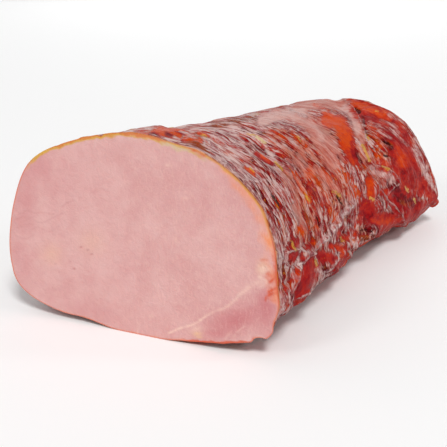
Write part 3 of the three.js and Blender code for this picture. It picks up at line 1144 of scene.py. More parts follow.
SKIN_FOLDS = (
    # edge of the smooth back over the far lobe
    *folds(0.7, 1.5,
        (1.6, 0.35, (343, 99), (353, 106), (359, 116), (364, 128), (367, 140), (372, 153), (374, 163))),
    # edge of the band over the back, and the crease down the far lobe
    *folds(0.6, 0.0, (1.4, 0.25, (286, 106), (296, 113), (306, 118)),
        (1.2, 0.5, (372, 178), (379, 188), (387, 199), (396, 208), (402, 217), (403, 224))),
    # membrane that loops down to the lower edge
    *folds(0.4, 0.0,
        (1.2, 0.5, (364, 177), (367, 169), (373, 165), (382, 165), (391, 170), (398, 178), (399, 183),
         (393, 188), (387, 196))),
    # gathers round the lumps of the lower flank
    *folds(0.9, 0.0, (2.4, 0.5, (310, 254), (320, 246), (331, 235), (341, 220), (351, 206)),
        (1.6, 0.5, (310, 254), (303, 262), (298, 272), (295, 282)),
        (1.6, 0.6, (310, 254), (316, 262), (321, 272), (321, 282), (312, 291), (301, 299)),
        (1.6, 0.4, (310, 254), (297, 249), (288, 252)),
        (1.3, 0.4, (334, 248), (337, 258), (331, 267), (322, 274)),
        (1.3, 0.4, (346, 243), (350, 252), (351, 260)), (1.3, 0.4, (277, 252), (283, 262), (286, 270))),
    # hollows and bulges of the outline, and flaps at the cut, with no line
    *folds(0.0, 0.0, (11.0, -1.6, (281, 326), (292, 315), (304, 304)),
        (8.0, -2.4, (355, 262), (364, 254), (374, 247)), (7.0, -1.6, (391, 236), (402, 230)),
        (6.0, -1.4, (423, 216), (431, 211)), (8.0, 0.6, (334, 270), (348, 262)),
        (7.0, 1.2, (406, 226), (420, 218)), (9.0, -1.5, (170, 124), (186, 121), (200, 119)),
        (1.8, 0.5, (154, 132), (170, 133), (184, 138), (196, 148)),
        (1.6, 0.4, (194, 134), (203, 137), (211, 143)),
        (19.0, 1.9, (200, 155), (214, 164), (230, 178), (244, 194), (255, 212)),
        (8.0, -0.7, (418, 142), (425, 156), (430, 170)), (7.0, -2.4, (318, 291), (330, 284)),
        (7.0, -1.0, (232, 350), (246, 350)), (3.0, -1.3, (256, 342), (262, 341)),
        (4.5, 1.0, (267, 339), (273, 333))),
)


# ---------------------------------------------------------------------------------------------- the skin


@dataclass(frozen=True)
class Noise:
    """A noise on the skin, for sums of several or for patches where it is high."""

    around: float  # size of its cells round the loin, in millimetres
    along: float  # size of its cells along the loin, in millimetres
    seed: int  # which noise it is
    height: float = 1.0
    low: float = 0.0  # the value where patches start
    full: float = 1.0  # the value where they are full
    swayed: bool = False  # whether it follows the sway of the grain


# how far the grain sways along the loin, in millimetres
SWAY = (Noise(36.0, 26.0, 43, 4.5), Noise(15.0, 13.0, 44, 1.6), Noise(6.0, 6.0, 53, 0.4))
# the ragged edges of the marks
RAGGED = (Noise(7.0, 3.5, 41, 0.6), Noise(3.5, 1.8, 42, 0.4))
# how orange the meat is rather than dark red, and how much membrane covers it
TONE = (Noise(30.0, 20.0, 45, 0.6), Noise(14.0, 8.0, 46, 0.45))
MEMBRANE = (Noise(38.0, 17.0, 47, 0.20), Noise(15.0, 7.0, 48, 0.32))
# where the bare tip starts, in millimetres, and where the flank counts as low
TIP_EDGE = (Noise(15.0, 15.0, 57, 6.0),)
FLANK_EDGE = (Noise(30.0, 22.0, 71, 0.25),)
# how the net's cells are bent, in cells, and where its lines are whole
NET_AROUND = (Noise(9.0, 9.0, 72, 0.28), Noise(4.0, 4.0, 73, 0.12))
NET_ALONG = (Noise(9.0, 9.0, 74, 0.28), Noise(4.0, 4.0, 75, 0.12))
NET_LINES = Noise(12.0, 12.0, 76, low=-0.5, full=0.1)
# the relief: sharp wrinkles, finer ones on them, and soft lumps in millimetres
BROAD_WRINKLES = (Noise(24.0, 3.6, 61, swayed=True),)
FINE_WRINKLES = (Noise(13.0, 2.3, 62, 0.35, swayed=True), Noise(8.0, 1.4, 63, 0.25, swayed=True))
LUMPS = (Noise(19.0, 14.0, 64, 0.7), Noise(8.0, 7.0, 65, 0.35))

# what is scattered over the skin, by the name of its value
PATCHES: dict[str, Noise] = {
    "smooth": Noise(46.0, 21.0, 49, low=0.15, full=0.6),
    "fat": Noise(9.0, 3.4, 50, low=0.5, full=0.75, swayed=True),
    "cream": Noise(24.0, 18.0, 51, low=0.0, full=0.4),
    "pit": Noise(7.5, 3.0, 52, low=0.62, full=0.85, swayed=True),
    "bare": Noise(33.0, 20.0, 56, low=0.38, full=0.6),
    "pale": Noise(21.0, 12.0, 54, low=0.25, full=0.6),
    "warm": Noise(30.0, 26.0, 58, low=-0.1, full=0.6),
    "brown": Noise(15.0, 8.0, 55, low=0.35, full=0.7),
}


@dataclass
class LoinSkin:
    """The loin's outside, from the cut's edge round to the tip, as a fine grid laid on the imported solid."""

    view: Viewpoint
    rows: int = 460
    columns: int = 400
    seam_column: int = 372  # where the skin of the belly meets that of the back, on the right
    fan_share: float = 0.81  # share of the length where the rays start to fan round the far end
    tip_drift: float = 0.25  # how far the fan leans from the far section's middle to the tip
    facet_blur: float = 2.0  # millimetres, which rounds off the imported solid's facets
    inside: float = 0.05  # millimetres behind the cut where its outline is read
    start_height: float = 0.45  # share of the height where the search for a section's middle starts
    sweep_steps: int = 1441
    net_around: float = 11.0  # size of the net's cells round the loin, in millimetres
    net_along: float = 13.0  # size of the net's cells along the loin, in millimetres
    net_line: float = 1.3  # half width of the net's lines, in millimetres
    net_depth: float = 1.1  # millimetres by which the net ties the skin down
    lump_height: float = 2.6  # millimetres by which the lumps stand over the net
    lump_edge: float = 2.2  # millimetres over which they rise
    wrinkle_height: float = 0.42  # millimetres
    line_height: float = 0.25  # millimetres
    fat_height: float = 0.3  # millimetres
    pit_depth: float = 0.9  # millimetres
    fold_limit: float = 60.0  # pixels from a fold where it ends
    step_reach: float = 22.0  # pixels over which the skin past a stepped fold comes back up
    pixel_size: float = 0.45  # millimetres that a pixel of the photograph covers
    first_cell: float = 7.3  # where along the noises the cut lies, in cells
    first_net_cell: float = 3.0  # and along the net
    seed: int = 11

    def reach(self, origin: np.ndarray, way: Place | np.ndarray) -> float:
        """Distance from a point inside to the solid's surface, in millimetres."""
        return self.solid.ray_cast(Vector(origin * METRES), Vector(way))[3] / METRES

    def middle(self, place: float, height: float) -> np.ndarray:
        """Finds the middle of the section at a place along the loin.

        Args:
            place: the place along the loin.
            height: the loin's height.

        Returns:
            The middle, in millimetres.
        """
        start = np.array([0.0, place, self.start_height * height])
        right, left = self.reach(start, (1.0, 0.0, 0.0)), self.reach(start, (-1.0, 0.0, 0.0))
        centre = start + np.array([(right - left) / 2, 0.0, 0.0])
        up, down = self.reach(centre, (0.0, 0.0, 1.0)), self.reach(centre, (0.0, 0.0, -1.0))
        return centre + np.array([0.0, 0.0, (up - down) / 2])

    def even_angles(self, near: np.ndarray) -> np.ndarray:
        """Finds the girth, and angles that are evenly spaced round the cut.

        Args:
            near: the cut's middle.

        Returns:
            The angle of each column.
        """
        sweep = np.linspace(0.0, TURN, self.sweep_steps)
        ring = np.array([[math.cos(a), 0.0, math.sin(a)] for a in sweep])
        outline = np.array([near + direction * self.reach(near, direction) for direction in ring])
        travelled = np.concatenate([[0.0], np.cumsum(np.linalg.norm(np.diff(outline, axis=0), axis=1))])
        self.girth = travelled[-1]
        return np.interp(np.linspace(0.0, self.girth, self.columns, endpoint=False), travelled, sweep)

    def lay(self) -> None:
        """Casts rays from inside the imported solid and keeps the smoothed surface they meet."""
        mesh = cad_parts[NODE].data
        corners = [vertex.co.copy() for vertex in mesh.vertices]
        self.solid = BVHTree.FromPolygons(corners, [tuple(face.vertices) for face in mesh.polygons])
        low, high = (np.array(corner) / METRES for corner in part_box(NODE))
        self.face_place = low[1]
        fan_place = low[1] + self.fan_share * (high[1] - low[1])
        near = self.middle(low[1] + self.inside, high[2] - low[2])
        far = self.middle(fan_place, high[2] - low[2])
        angles = self.even_angles(near)

        # rows: straight out along the body, then fanning round the end
        body_length = fan_place - low[1]
        end_length = 0.25 * math.pi * (high[1] - fan_place + self.girth / TURN)
        body_rows = int(round(self.rows * body_length / (body_length + end_length)))
        tip_way = unit(np.array([far[0] * self.tip_drift, high[1] - fan_place, -far[2] * self.tip_drift]))
        base = np.zeros((self.rows, self.columns, 3))
        for row in range(self.rows):
            origin = near + (far - near) * min(1.0, row / (body_rows - 1))
            fan = 0.5 * math.pi * max(0, row - body_rows + 1) / (self.rows - body_rows)
            for column, angle in enumerate(angles):
                outward = np.array([math.cos(angle), 0.0, math.sin(angle)])
                direction = unit(outward * math.cos(fan) + tip_way * math.sin(fan))
                base[row, column] = origin + direction * self.reach(origin, direction)

        # rounded facets, with the cut's edge left sharp
        row_step = (body_length + end_length) / self.rows
        base = blur(base, self.facet_blur * self.columns / self.girth, 1, True)
        smoothed = blur(base, self.facet_blur / row_step, 0, False)
        edge = smooth_step(0.0, 4.0, np.arange(self.rows) * row_step)[:, None, None]
        base = base * (1 - edge) + smoothed * edge
        base[0, :, 1] = self.face_place
        self.base = base
        self.normals = self.outward(base)
        self.along = np.repeat((np.arange(self.rows) * row_step)[:, None], self.columns, axis=1)
        self.turn = np.repeat((np.arange(self.columns) / self.columns)[None, :], self.rows, axis=0)
        self.tip_fade = smooth_step(0.0, 14.0, (self.rows - 1) * row_step - self.along)
        self.sway = self.ripples(SWAY)

    def outward(self, points: np.ndarray) -> np.ndarray:
        """Outward directions of a grid of skin points.

        Args:
            points: the grid.

        Returns:
            One direction for each point.
        """
        around = np.roll(points, -1, axis=1) - np.roll(points, 1, axis=1)
        normals = unit(np.cross(around, np.gradient(points, axis=0)))
        if np.mean(np.sum(normals * (points - points.mean(axis=(0, 1))), axis=-1)) < 0:
            normals = -normals
        normals[-1] = normals[-2].mean(axis=0)
        return unit(normals)

    def ripples(self, noises: tuple[Noise, ...]) -> np.ndarray:
        """Sums noises on the skin that meet themselves round the loin.

        Args:
            noises: the noises, each about as high as it says, up and down.

        Returns:
            The sum on the grid.
        """
        total = np.zeros(self.along.shape)
        for noise in noises:
            period = max(3, int(round(self.girth / noise.around)))
            along = self.along + self.sway if noise.swayed else self.along
            place = along / noise.along + self.first_cell
            ripple = gradient_noise(self.turn * period, place, period, self.seed + noise.seed)
            total = total + noise.height * ripple
        return total

    def patches(self, noise: Noise) -> np.ndarray:
        """Patches from 0 to 1 where a noise is high."""
        return smooth_step(noise.low, noise.full, self.ripples((noise,)))

    def paint(self) -> None:
        """Works out what shows where on the skin: the photograph's marks, and more of the same elsewhere."""
        self.pixels = self.view.pixels(self.base)
        facing = self.view.facing(self.base, self.normals)
        sideways, upright = self.normals[..., 0], self.normals[..., 2]
        self.shown = smooth_step(0.0, 0.1, facing)
        self.edge_shown = smooth_step(-0.6, -0.35, facing) * smooth_step(-0.7, -0.3, sideways)
        hidden = 1.0 - self.shown
        near_cut = 1.0 - smooth_step(30.0, 75.0, self.along)
        membrane = 0.34 + self.ripples(MEMBRANE) - 0.24 * smooth_step(0.35, -0.05, upright)
        membrane = membrane + 0.10 * smooth_step(0.15, 0.75, upright) + 0.08 * near_cut
        tip = 0.9 * smooth_step(26.0, 8.0, self.along.max() - self.along + self.ripples(TIP_EDGE))
        on_back = smooth_step(0.65, 0.97, upright) * (1.0 - smooth_step(60.0, 100.0, self.along))
        patch = {name: self.patches(noise) for name, noise in PATCHES.items()}
        self.values = {
            "tone": 0.1 + 0.2 * hidden - 0.35 * near_cut + self.ripples(TONE),
            "membrane": membrane,
            "smooth": patch["smooth"] * smooth_step(30.0, 60.0, self.along) * (1.0 - 0.8 * self.shown),
            "fat": patch["fat"] * hidden,
            "cream": patch["cream"],
            "pit": patch["pit"] * hidden,
            "bare": np.maximum(patch["bare"], tip) * hidden * 0.9,
            "pale": patch["pale"],
            "broad": 0.7 * on_back,
            "warm": patch["warm"] * (1.0 - near_cut),
            "brown": patch["brown"] * (0.25 + 0.45 * near_cut),
        }
        ragged = self.ripples(RAGGED)
        self.marked = np.zeros(self.along.shape)
        for mark in SKIN_MARKS:
            share = mark.ragged_share(self.pixels, ragged) * self.shown
            if mark.shows not in (Kind.WARM, Kind.HAZE):
                self.marked = np.maximum(self.marked, share)
            for name, value in KIND_VALUES[mark.shows].items():
                self.pull(name, value, share)

    def pull(self, name: str, value: float, share: np.ndarray) -> None:
        """Moves one of the skin's values towards another by a share at each place."""
        self.values[name] = self.values[name] * (1 - share) + value * share

    def gather(self) -> None:
        """Gathers the membrane in a net of lines between lumps low on the flanks, and in the shown folds."""
        low_flank = smooth_step(0.45, 0.0, self.normals[..., 2] + self.ripples(FLANK_EDGE))
        low_flank = low_flank * (1.0 - np.clip(self.values["bare"], 0.0, 1.0))
        period = int(round(self.girth / self.net_around))
        around = self.turn * period + self.ripples(NET_AROUND)
        along = self.along / self.net_along + self.first_net_cell + self.ripples(NET_ALONG)
        border, rank = cell_borders(around, along, period, self.seed)
        side = border * self.net_around
        lump = self.lump_height * (1.0 - np.exp(-np.abs(side) / self.lump_edge))
        self.dome = low_flank * (lump - self.net_depth)
        loose = low_flank * (1.0 - self.marked)
        near = loose * np.exp(-((side / self.net_line) ** 2)) * self.patches(NET_LINES)
        inner = loose * smooth_step(0.6, 1.8, np.abs(side)) * smooth_step(0.2, 0.35, rank)
        self.pull("smooth", 0.9, inner)
        self.pull("membrane", 0.0, 0.85 * inner)
        self.pull("bare", 1.0, inner)
        values = self.values
        values["tone"] = values["tone"] * (1 - 0.6 * loose) + loose * (1.4 * rank - 1.0)
        self.fold_height = np.zeros(side.shape)
        self.fold_share = np.zeros(side.shape)
        for fold in SKIN_FOLDS:
            away, signed = side_of_path(rounded_path(fold.points), self.pixels, self.fold_limit)
            share = np.exp(-((away / fold.width) ** 2))
            past = smooth_step(-0.8, 0.8, -signed) * np.exp(-((away / self.step_reach) ** 2))
            self.fold_height += fold.height * share * self.edge_shown - fold.step * past * self.shown
            if fold.line > 0:
                share = share * self.shown
                self.fold_share = np.maximum(self.fold_share, share)
                stronger = fold.line * share > near
                near = np.where(stronger, fold.line * share, near)
                side = np.where(stronger, signed * self.pixel_size, side)
        values["line_side"] = side
        values["line_near"] = near
        values["membrane"] = values["membrane"] + 0.35 * near
        self.pull("smooth", 0.0, 0.7 * near)

    def wrinkle(self) -> None:
        """Raises the wrinkles, folds, lumps and pits on the grid."""
        values = self.values
        rough = 1.0 - 0.75 * np.clip(values["smooth"], 0, 1)
        ridge = 0.45 * (1 - 2 * np.abs(self.ripples(BROAD_WRINKLES))) + self.ripples(FINE_WRINKLES)
        height = self.wrinkle_height * ridge * rough + self.ripples(LUMPS) + self.dome
        height = height * (0.1 + 0.9 * smooth_step(0.0, 9.0, self.along)) + self.fold_height
        height = height + self.line_height * values["line_near"] + self.fat_height * values["fat"]
        height = (height - self.pit_depth * np.clip(values["pit"], 0, 1)) * self.tip_fade
        normals = self.normals.copy()
        normals[..., 1] *= smooth_step(0.0, 3.0, self.along)
        self.skin = self.base + unit(normals) * height[..., None]
        self.skin[0, :, 1] = self.face_place
        self.skin[..., 2] = np.maximum(self.skin[..., 2], 0.0)
        values["ridge"] = np.clip(ridge + self.fold_share * np.sign(self.fold_height), -1.2, 1.5)
        values["rim"] = (1.0 - smooth_step(0.3, 1.3, self.along)) * 0.75

    def grain(self) -> np.ndarray:
        """Places on a drum as round as the loin, in millimetres, by which the shaders run their wrinkles.

        Returns:
            One place for each grid point.
        """
        radius, angle = self.girth / TURN, TURN * self.turn
        return np.stack([radius * np.cos(angle), radius * np.sin(angle), self.along + self.sway], axis=-1)

    def build(self, material: bpy.types.Material) -> list[bpy.types.Object]:
        """Makes the skin's two meshes, one over the back and one under the belly.

        Args:
            material: their finish.

        Returns:
            The pieces of skin.
        """
        self.lay()
        self.paint()
        self.gather()
        self.wrinkle()
        grid = Grid(self.skin, self.outward(self.skin), self.values, self.grain(), material)
        half = self.columns // 2
        return [grid.strip("back_skin", self.seam_column, half),
                grid.strip("belly_skin", self.seam_column + half, self.columns - half)]


@dataclass
class Grid:
    """A grid of points, closed round its columns, whose last row is one point, and what it carries."""

    points: np.ndarray  # millimetres
    normals: np.ndarray
    values: dict[str, np.ndarray]
    grain: np.ndarray
    material: bpy.types.Material
    margin: float = 0.01  # share of the bake map left free at its edges

    def bake_map(self, count: int) -> np.ndarray:
        """Lays a strip's faces out by rows and columns.

        Args:
            count: how many columns of faces the strip has.

        Returns:
            The place of each corner of each face, one number after the other.
        """
        rows = self.points.shape[0]
        row, column = np.meshgrid(np.arange(rows - 2), np.arange(count), indexing="ij")
        across = self.margin + (1 - 2 * self.margin) * np.arange(count + 1) / count
        down = self.margin + (1 - 2 * self.margin) * np.arange(rows) / (rows - 1)
        left, right, low, high = across[column], across[column + 1], down[row], down[row + 1]
        body = np.stack([left, low, left, high, right, high, right, low], axis=-1).ravel()
        middle = (across[:-1] + across[1:]) / 2
        edge, end = np.full(count, down[-2]), np.full(count, down[-1])
        fan = np.stack([across[:-1], edge, middle, end, across[1:], edge], axis=-1).ravel()
        return np.concatenate([body, fan])

    def strip(self, name: str, first: int, count: int) -> bpy.types.Object:
        """Turns a strip of the grid into a mesh, with a bake map.

        Args:
            name: the piece's name.
            first: the strip's first column.
            count: how many columns of faces it has.

        Returns:
            The mesh's object.
        """
        rows, columns = self.points.shape[:2]
        taken = np.arange(first, first + count + 1) % columns
        width = count + 1

        def carried(values: np.ndarray) -> np.ndarray:
            """One value for each vertex: the strip's rows, then the last row's mean."""
            flat = values[:-1][:, taken].reshape((rows - 1) * width, -1)
            return np.vstack([flat, values[-1].mean(axis=0).reshape(1, -1)])

        row, column = np.meshgrid(np.arange(rows - 2), np.arange(count), indexing="ij")
        corner = row * width + column
        faces = np.stack([corner, corner + width, corner + width + 1, corner + 1], axis=-1)
        faces = faces.reshape(-1, 4).tolist()
        last, tip = (rows - 2) * width, (rows - 1) * width
        faces += [[last + j, tip, last + j + 1] for j in range(count)]
        mesh = bpy.data.meshes.new(name)
        mesh.from_pydata((carried(self.points) * METRES).tolist(), [], faces)
        mesh.uv_layers.new(name="OFBake").data.foreach_set("uv", self.bake_map(count).astype(np.float32))
        for key, value in self.values.items():
            numbers = carried(value[..., None]).astype(np.float32).ravel()
            mesh.attributes.new(key, "FLOAT", "POINT").data.foreach_set("value", numbers)
        vectors = carried(self.grain).astype(np.float32).ravel()
        mesh.attributes.new("grain", "FLOAT_VECTOR", "POINT").data.foreach_set("vector", vectors)
        mesh.polygons.foreach_set("use_smooth", np.ones(len(mesh.polygons), bool))
        mesh.update()
        mesh.normals_split_custom_set_from_vertices(unit(carried(self.normals)).tolist())
        mesh.materials.append(self.material)
        return put_in_scene(name, mesh)


# ---------------------------------------------------------------------------------------------- the cut face


@dataclass(frozen=True)
class Spot:
    """An oval on the cut face, in the photograph's pixels."""

    layer: Layer
    x: float
    y: float
    long: float  # half length
    wide: float  # half width
    tilt: float  # degrees below the horizontal, to the right
    strength: float

    def share(self, pixels: np.ndarray, ragged: np.ndarray) -> np.ndarray:
        """How strongly the spot shows at places in the photograph.

        Args:
            pixels: the places.
            ragged: noise there, which makes the edge uneven.

        Returns:
            1 inside, falling to 0 past the edge, times the spot's strength.
        """
        turn = math.radians(self.tilt)
        right, down = pixels[..., 0] - self.x, pixels[..., 1] - self.y
        lengthwise = (right * math.cos(turn) + down * math.sin(turn)) / self.long
        sideways = (down * math.cos(turn) - right * math.sin(turn)) / self.wide
        distance = np.hypot(lengthwise, sideways) * (1.0 + 0.45 * ragged)
        return self.strength * np.exp(-1.4 * distance**2)


def spots(layer: Layer, *rows: tuple[float, ...]) -> tuple[Spot, ...]:
    """Spots of one layer, each from its place, half length, half width, tilt and strength."""
    return tuple(Spot(layer, *row) for row in rows)


@dataclass(frozen=True)
class EdgeBand:
    """A band along the edge of the cut face, over a stretch of the photograph's pixels."""

    layer: Layer
    from_x: float
    to_x: float
    inner: float  # millimetres in from the edge
    strength: float
    ragged: float  # how uneven its inner side is, as a share of its depth
    upper: bool = True  # whether it follows the upper edge rather than the lower one
    outer: float = -1.0  # millimetres in from the edge, where it starts
    fade: float = 6.0  # pixels over which its ends fade out

    def share(self, pixels: np.ndarray, depth: np.ndarray, ragged: np.ndarray, middle: float) -> np.ndarray:
        """How strongly the band shows at places on the face.

        Args:
            pixels: the places in the photograph.
            depth: how far in from the edge they lie, in millimetres.
            ragged: noise there.
            middle: the height in the photograph, in pixels, that parts upper from lower.

        Returns:
            1 inside the band, falling to 0 past it, times the band's strength.
        """
        ends = smooth_step(self.from_x - self.fade, self.from_x + self.fade, pixels[..., 0])
        ends = ends * smooth_step(self.to_x + self.fade, self.to_x - self.fade, pixels[..., 0])
        half = smooth_step(-8.0, 8.0, (middle - pixels[..., 1]) * (1.0 if self.upper else -1.0))
        inner = np.maximum(self.inner * (1.0 + self.ragged * ragged), 0.02)
        rise = smooth_step(self.outer - 0.3, self.outer + 0.1, depth)
        fall = 1.0 - smooth_step(0.7 * inner, 1.15 * inner, depth)
        return self.strength * ends * half * rise * fall


FACE_BANDS = (
    EdgeBand(Layer.GOLD, 30, 128, 1.5, 0.9, 0.5),
    EdgeBand(Layer.BLOTCH, 50, 110, 0.8, 0.5, 1.6),
    EdgeBand(Layer.BLOTCH, 110, 166, 1.1, 0.55, 1.4),
    EdgeBand(Layer.BLOTCH, 185, 250, 0.9, 0.8, 1.4, upper=False),
    EdgeBand(Layer.GOLD, 106, 164, 1.7, 0.75, 0.7),
    EdgeBand(Layer.STRIP, 160, 205, 2.2, 0.7, 0.6, outer=0.3),
    EdgeBand(Layer.GOLD, 163, 214, 0.8, 0.6, 0.8),
    EdgeBand(Layer.GOLD, 214, 268, 0.9, 0.55, 0.7),
)

FACE_LINES = (
    *strokes(Layer.SEAM, (1.3, 0.75, (170, 332), (182, 328), (194, 323), (206, 317)),
        (1.5, 0.45, (206, 317), (222, 308), (236, 300), (244, 293)),
        (2.6, 0.5, (240, 296), (248, 287), (256, 282), (266, 283)), (0.9, 0.35, (137, 320), (138, 333)),
        (0.8, 0.4, (233, 340), (238, 332), (243, 327)), (0.8, 0.3, (226, 338), (231, 331)),
        (1.8, 0.7, (262, 268), (268, 271)), (1.6, 0.6, (260, 276), (266, 281))),
    *strokes(Layer.CRACK, (1.0, 0.24, (18, 214), (26, 211), (34, 214), (44, 212), (54, 214)),
        (1.0, 0.22, (16, 219), (24, 217), (30, 219), (37, 217)),
        (1.0, 0.22, (22, 222), (32, 219), (40, 223), (52, 218), (64, 214)),
        (0.9, 0.2, (16, 227), (24, 225), (32, 226)), (1.0, 0.2, (30, 231), (38, 228), (48, 231), (58, 227)),
        (0.9, 0.26, (62, 208), (68, 203), (74, 201)), (0.9, 0.22, (20, 237), (28, 239), (34, 236))),
    *strokes(Layer.BLOTCH, (1.4, 0.5, (274, 256), (275, 264)),
        (2.2, 0.8, (185, 146), (194, 150), (204, 156)), (1.2, 0.45, (262, 260), (268, 261)),
        (1.8, 0.7, (274, 266), (276, 276), (277, 286)), (2.0, 0.9, (268, 274), (272, 277)),
        (1.8, 0.9, (270, 283), (275, 279)), (2.2, 0.95, (269, 293), (276, 288)),
        (2.2, 0.95, (269, 296), (276, 293)), (1.2, 0.7, (266, 301), (267, 297))),
    *strokes(Layer.GOLD, (1.4, 0.5, (187, 150), (195, 153), (201, 157))),
)

FACE_SPOTS = (
    *spots(Layer.ROSY, (26, 200, 14, 44, 8, 0.35), (38, 168, 22, 26, 20, 0.55), (62, 178, 40, 34, 0, 0.25),
        (236, 210, 22, 60, -15, 0.12), (238, 320, 44, 17, -22, 0.9), (266, 308, 14, 28, 0, 0.9),
        (22, 262, 12, 30, -10, 0.3), (205, 200, 60, 30, 30, 0.12), (125, 262, 16, 30, 0, 0.15),
        (90, 310, 40, 10, 15, 0.2), (218, 333, 20, 8, 3, 0.8)),
    *spots(Layer.STAIN, (52, 254, 12, 12, 0, 0.28), (92, 242, 16, 14, 20, 0.2), (262, 268, 6, 9, 0, 0.5)),
    *spots(Layer.SEAM, (196, 329, 7, 4, -20, 0.5), (152, 316, 3, 2, 0, 0.3), (168, 165, 3, 2, 10, 0.4),
        (186, 198, 4, 1.5, 15, 0.35), (176, 240, 2, 4, 0, 0.25), (218, 203, 2, 2, 0, 0.25),
        (263, 270, 6, 4, 0, 0.55), (262, 285, 5, 3.5, 0, 0.45)),
    *spots(Layer.FAT, (197, 334, 5, 3, 0, 0.6), (199, 337, 4, 1.5, 5, 0.6)),
    *spots(Layer.HALO, (267, 249, 2.5, 4, 0, 0.5), (264, 260, 5, 2, 5, 0.4)),
    *spots(Layer.BLOTCH, (267, 278, 3.5, 1.8, 30, 0.4), (274, 274, 2, 5, 0, 0.4),
        (271, 294, 3.4, 4.5, 20, 0.6), (267, 299, 2.2, 1.2, 0, 0.5)),
    *spots(Layer.CRACK, (81, 247, 1.5, 1.2, 0, 0.8), (88, 250, 1.2, 1.0, 0, 0.8),
        (92, 254, 1.4, 1.0, 0, 0.8), (74, 269, 1.9, 1.0, 40, 0.8), (70, 262, 1.4, 1.0, 0, 0.35),
        (46, 261, 1.3, 1.0, 0, 0.4), (36, 283, 1.3, 1.0, 0, 0.4), (56, 264, 1.3, 1.0, 0, 0.35)),
)


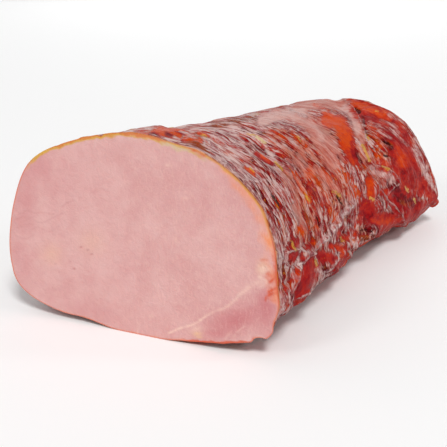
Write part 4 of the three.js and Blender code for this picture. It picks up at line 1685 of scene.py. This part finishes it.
@dataclass
class CutFace:
    """The flat cut across the loin, laid inside the skin's edge."""

    view: Viewpoint
    skin: LoinSkin
    rings: int = 130
    columns: int = 512
    crowding: float = 1.15  # above 1, the rings lie closer near the edge
    unevenness: float = 0.25  # millimetres
    seam_height: float = 0.25  # millimetres
    crack_depth: float = 0.15  # millimetres
    halo_reach: float = 1.0  # millimetres
    right_halo_reach: float = 5.5  # millimetres more at the right edge
    least_halo: float = 0.3  # millimetres
    halo_share: float = 0.45
    least_flame: float = 0.7  # millimetres
    flame_reach: float = 6.0  # millimetres more for the longest flames
    flame_share: float = 0.45

    def lay(self) -> None:
        """Spreads the rings from the skin's edge to the middle."""
        rim = self.skin.skin[0]
        places = np.arange(self.columns) * self.skin.columns / self.columns
        first = np.floor(places).astype(int)
        part = (places - first)[:, None]
        edge = rim[first % self.skin.columns] * (1 - part) + rim[(first + 1) % self.skin.columns] * part
        inward = (np.linspace(0.0, 1.0, self.rings) ** self.crowding)[:, None, None]
        self.points = edge[None] * (1 - inward) + edge.mean(axis=0)[None, None] * inward
        self.depth = np.linalg.norm(self.points - edge[None], axis=-1)  # distance in from the edge
        self.pixels = self.view.pixels(self.points)
        self.turn = np.repeat((np.arange(self.columns) / self.columns)[None], self.rings, axis=0)

    def ripple(self, period: int, size: float, seed: int) -> np.ndarray:
        """Noise with so many cells round the edge, each of a size inwards in millimetres."""
        return gradient_noise(self.turn * period, self.depth / size, period, seed)

    def deepen(self, layer: Layer, share: np.ndarray) -> None:
        """Lets a layer show where it is stronger than what is there."""
        self.values[layer.value] = np.maximum(self.values[layer.value], share)

    def paint(self) -> None:
        """Works out how strongly each layer shows at each point."""
        pixels, depth = self.pixels, self.depth
        right, down = pixels[..., 0], pixels[..., 1]
        self.values = {layer.value: np.zeros(depth.shape) for layer in Layer}
        blot = 0.6 * self.ripple(90, 2.2, 5) + 0.4 * self.ripple(210, 1.0, 6)
        bent = pixels + np.stack([np.sin(down / 3.1), np.sin(right / 4.7 + 0.8)], axis=-1) * 0.9
        for line in FACE_LINES:
            self.deepen(line.shows, line.soft_share(bent) * (0.8 + 0.8 * blot))
        for spot in FACE_SPOTS:
            self.deepen(spot.layer, spot.share(pixels, 0.5 * blot))
        for band in FACE_BANDS:
            self.deepen(band.layer, band.share(pixels, depth, blot, float(pixels[-1, 0, 1])))

        # the smoke reaches farther in along the right edge, and farthest in flames near its lower end
        right_side = smooth_step(195.0, 245.0, right) * smooth_step(310.0, 294.0, down)
        right_side *= smooth_step(145.0, 190.0, down)
        reach = self.halo_reach + self.right_halo_reach * right_side + (0.8 + 1.6 * right_side) * blot
        halo = (1.0 - smooth_step(0.0, 1.0, depth / np.maximum(reach, self.least_halo)))
        halo *= self.halo_share * (1.0 + right_side)
        self.deepen(Layer.HALO, halo * (0.8 + 0.9 * self.ripple(60, 4.0, 9)))
        flames = np.maximum(self.ripple(95, 9.0, 8) + 0.4 * blot - 0.1, 0.0)
        flames = self.least_flame + self.flame_reach * flames
        flamed = self.flame_share * right_side * smooth_step(235.0, 262.0, down)
        self.deepen(Layer.BLOTCH, flamed * (1.0 - smooth_step(0.5, 1.0, depth / flames)))
        self.deepen(Layer.RIM, (1.0 - smooth_step(0.2, 0.7, depth)) * (0.6 + 0.3 * right_side))
        self.values["fibrous"] = smooth_step(60.0, 190.0, right)

    def build(self, material: bpy.types.Material) -> bpy.types.Object:
        """Makes the face's mesh.

        Args:
            material: its finish.

        Returns:
            The face's object.
        """
        self.lay()
        self.paint()
        shown = {name: np.clip(value, 0.0, 1.0)[:, ::-1] for name, value in self.values.items()}
        points = self.points[:, ::-1]
        x, z = points[..., 0], points[..., 2]
        wave = np.sin(x / 9.0 + 1.0) * np.sin(z / 7.0) + 0.5 * np.sin(x / 4.1)
        lift = self.unevenness * wave + self.seam_height * shown["seam"] - self.crack_depth * shown["crack"]
        points[..., 1] -= lift * smooth_step(0.0, 5.0, self.depth[:, ::-1])
        normals = np.zeros(points.shape)
        normals[..., 1] = -1.0
        return Grid(points, normals, shown, points, material).strip("loin_cut_face", 0, self.columns)


# ---------------------------------------------------------------------------------------------- building


def main() -> None:
    """Builds the view, the studio and the loin's pieces, and reports each."""
    logging.basicConfig(level=logging.INFO, format="%(message)s")
    view = Viewpoint()
    view.build()
    Studio().build()
    wrinkles, mesh, mottle = wrinkle_group(), mesh_group(), mottle_group()

    loin_skin = LoinSkin(view)
    for piece in loin_skin.build(SmokedSkin().material(wrinkles, mesh, mottle)):
        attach(piece, "root")
        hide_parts(NODE)
        log.info("%s: %d faces", piece.name, len(piece.data.polygons))

    face = CutFace(view, loin_skin).build(CutMeat().material(wrinkles, mottle))
    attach(face, "root")
    log.info("%s: %d faces", face.name, len(face.data.polygons))


if __name__ == "__main__":
    main()
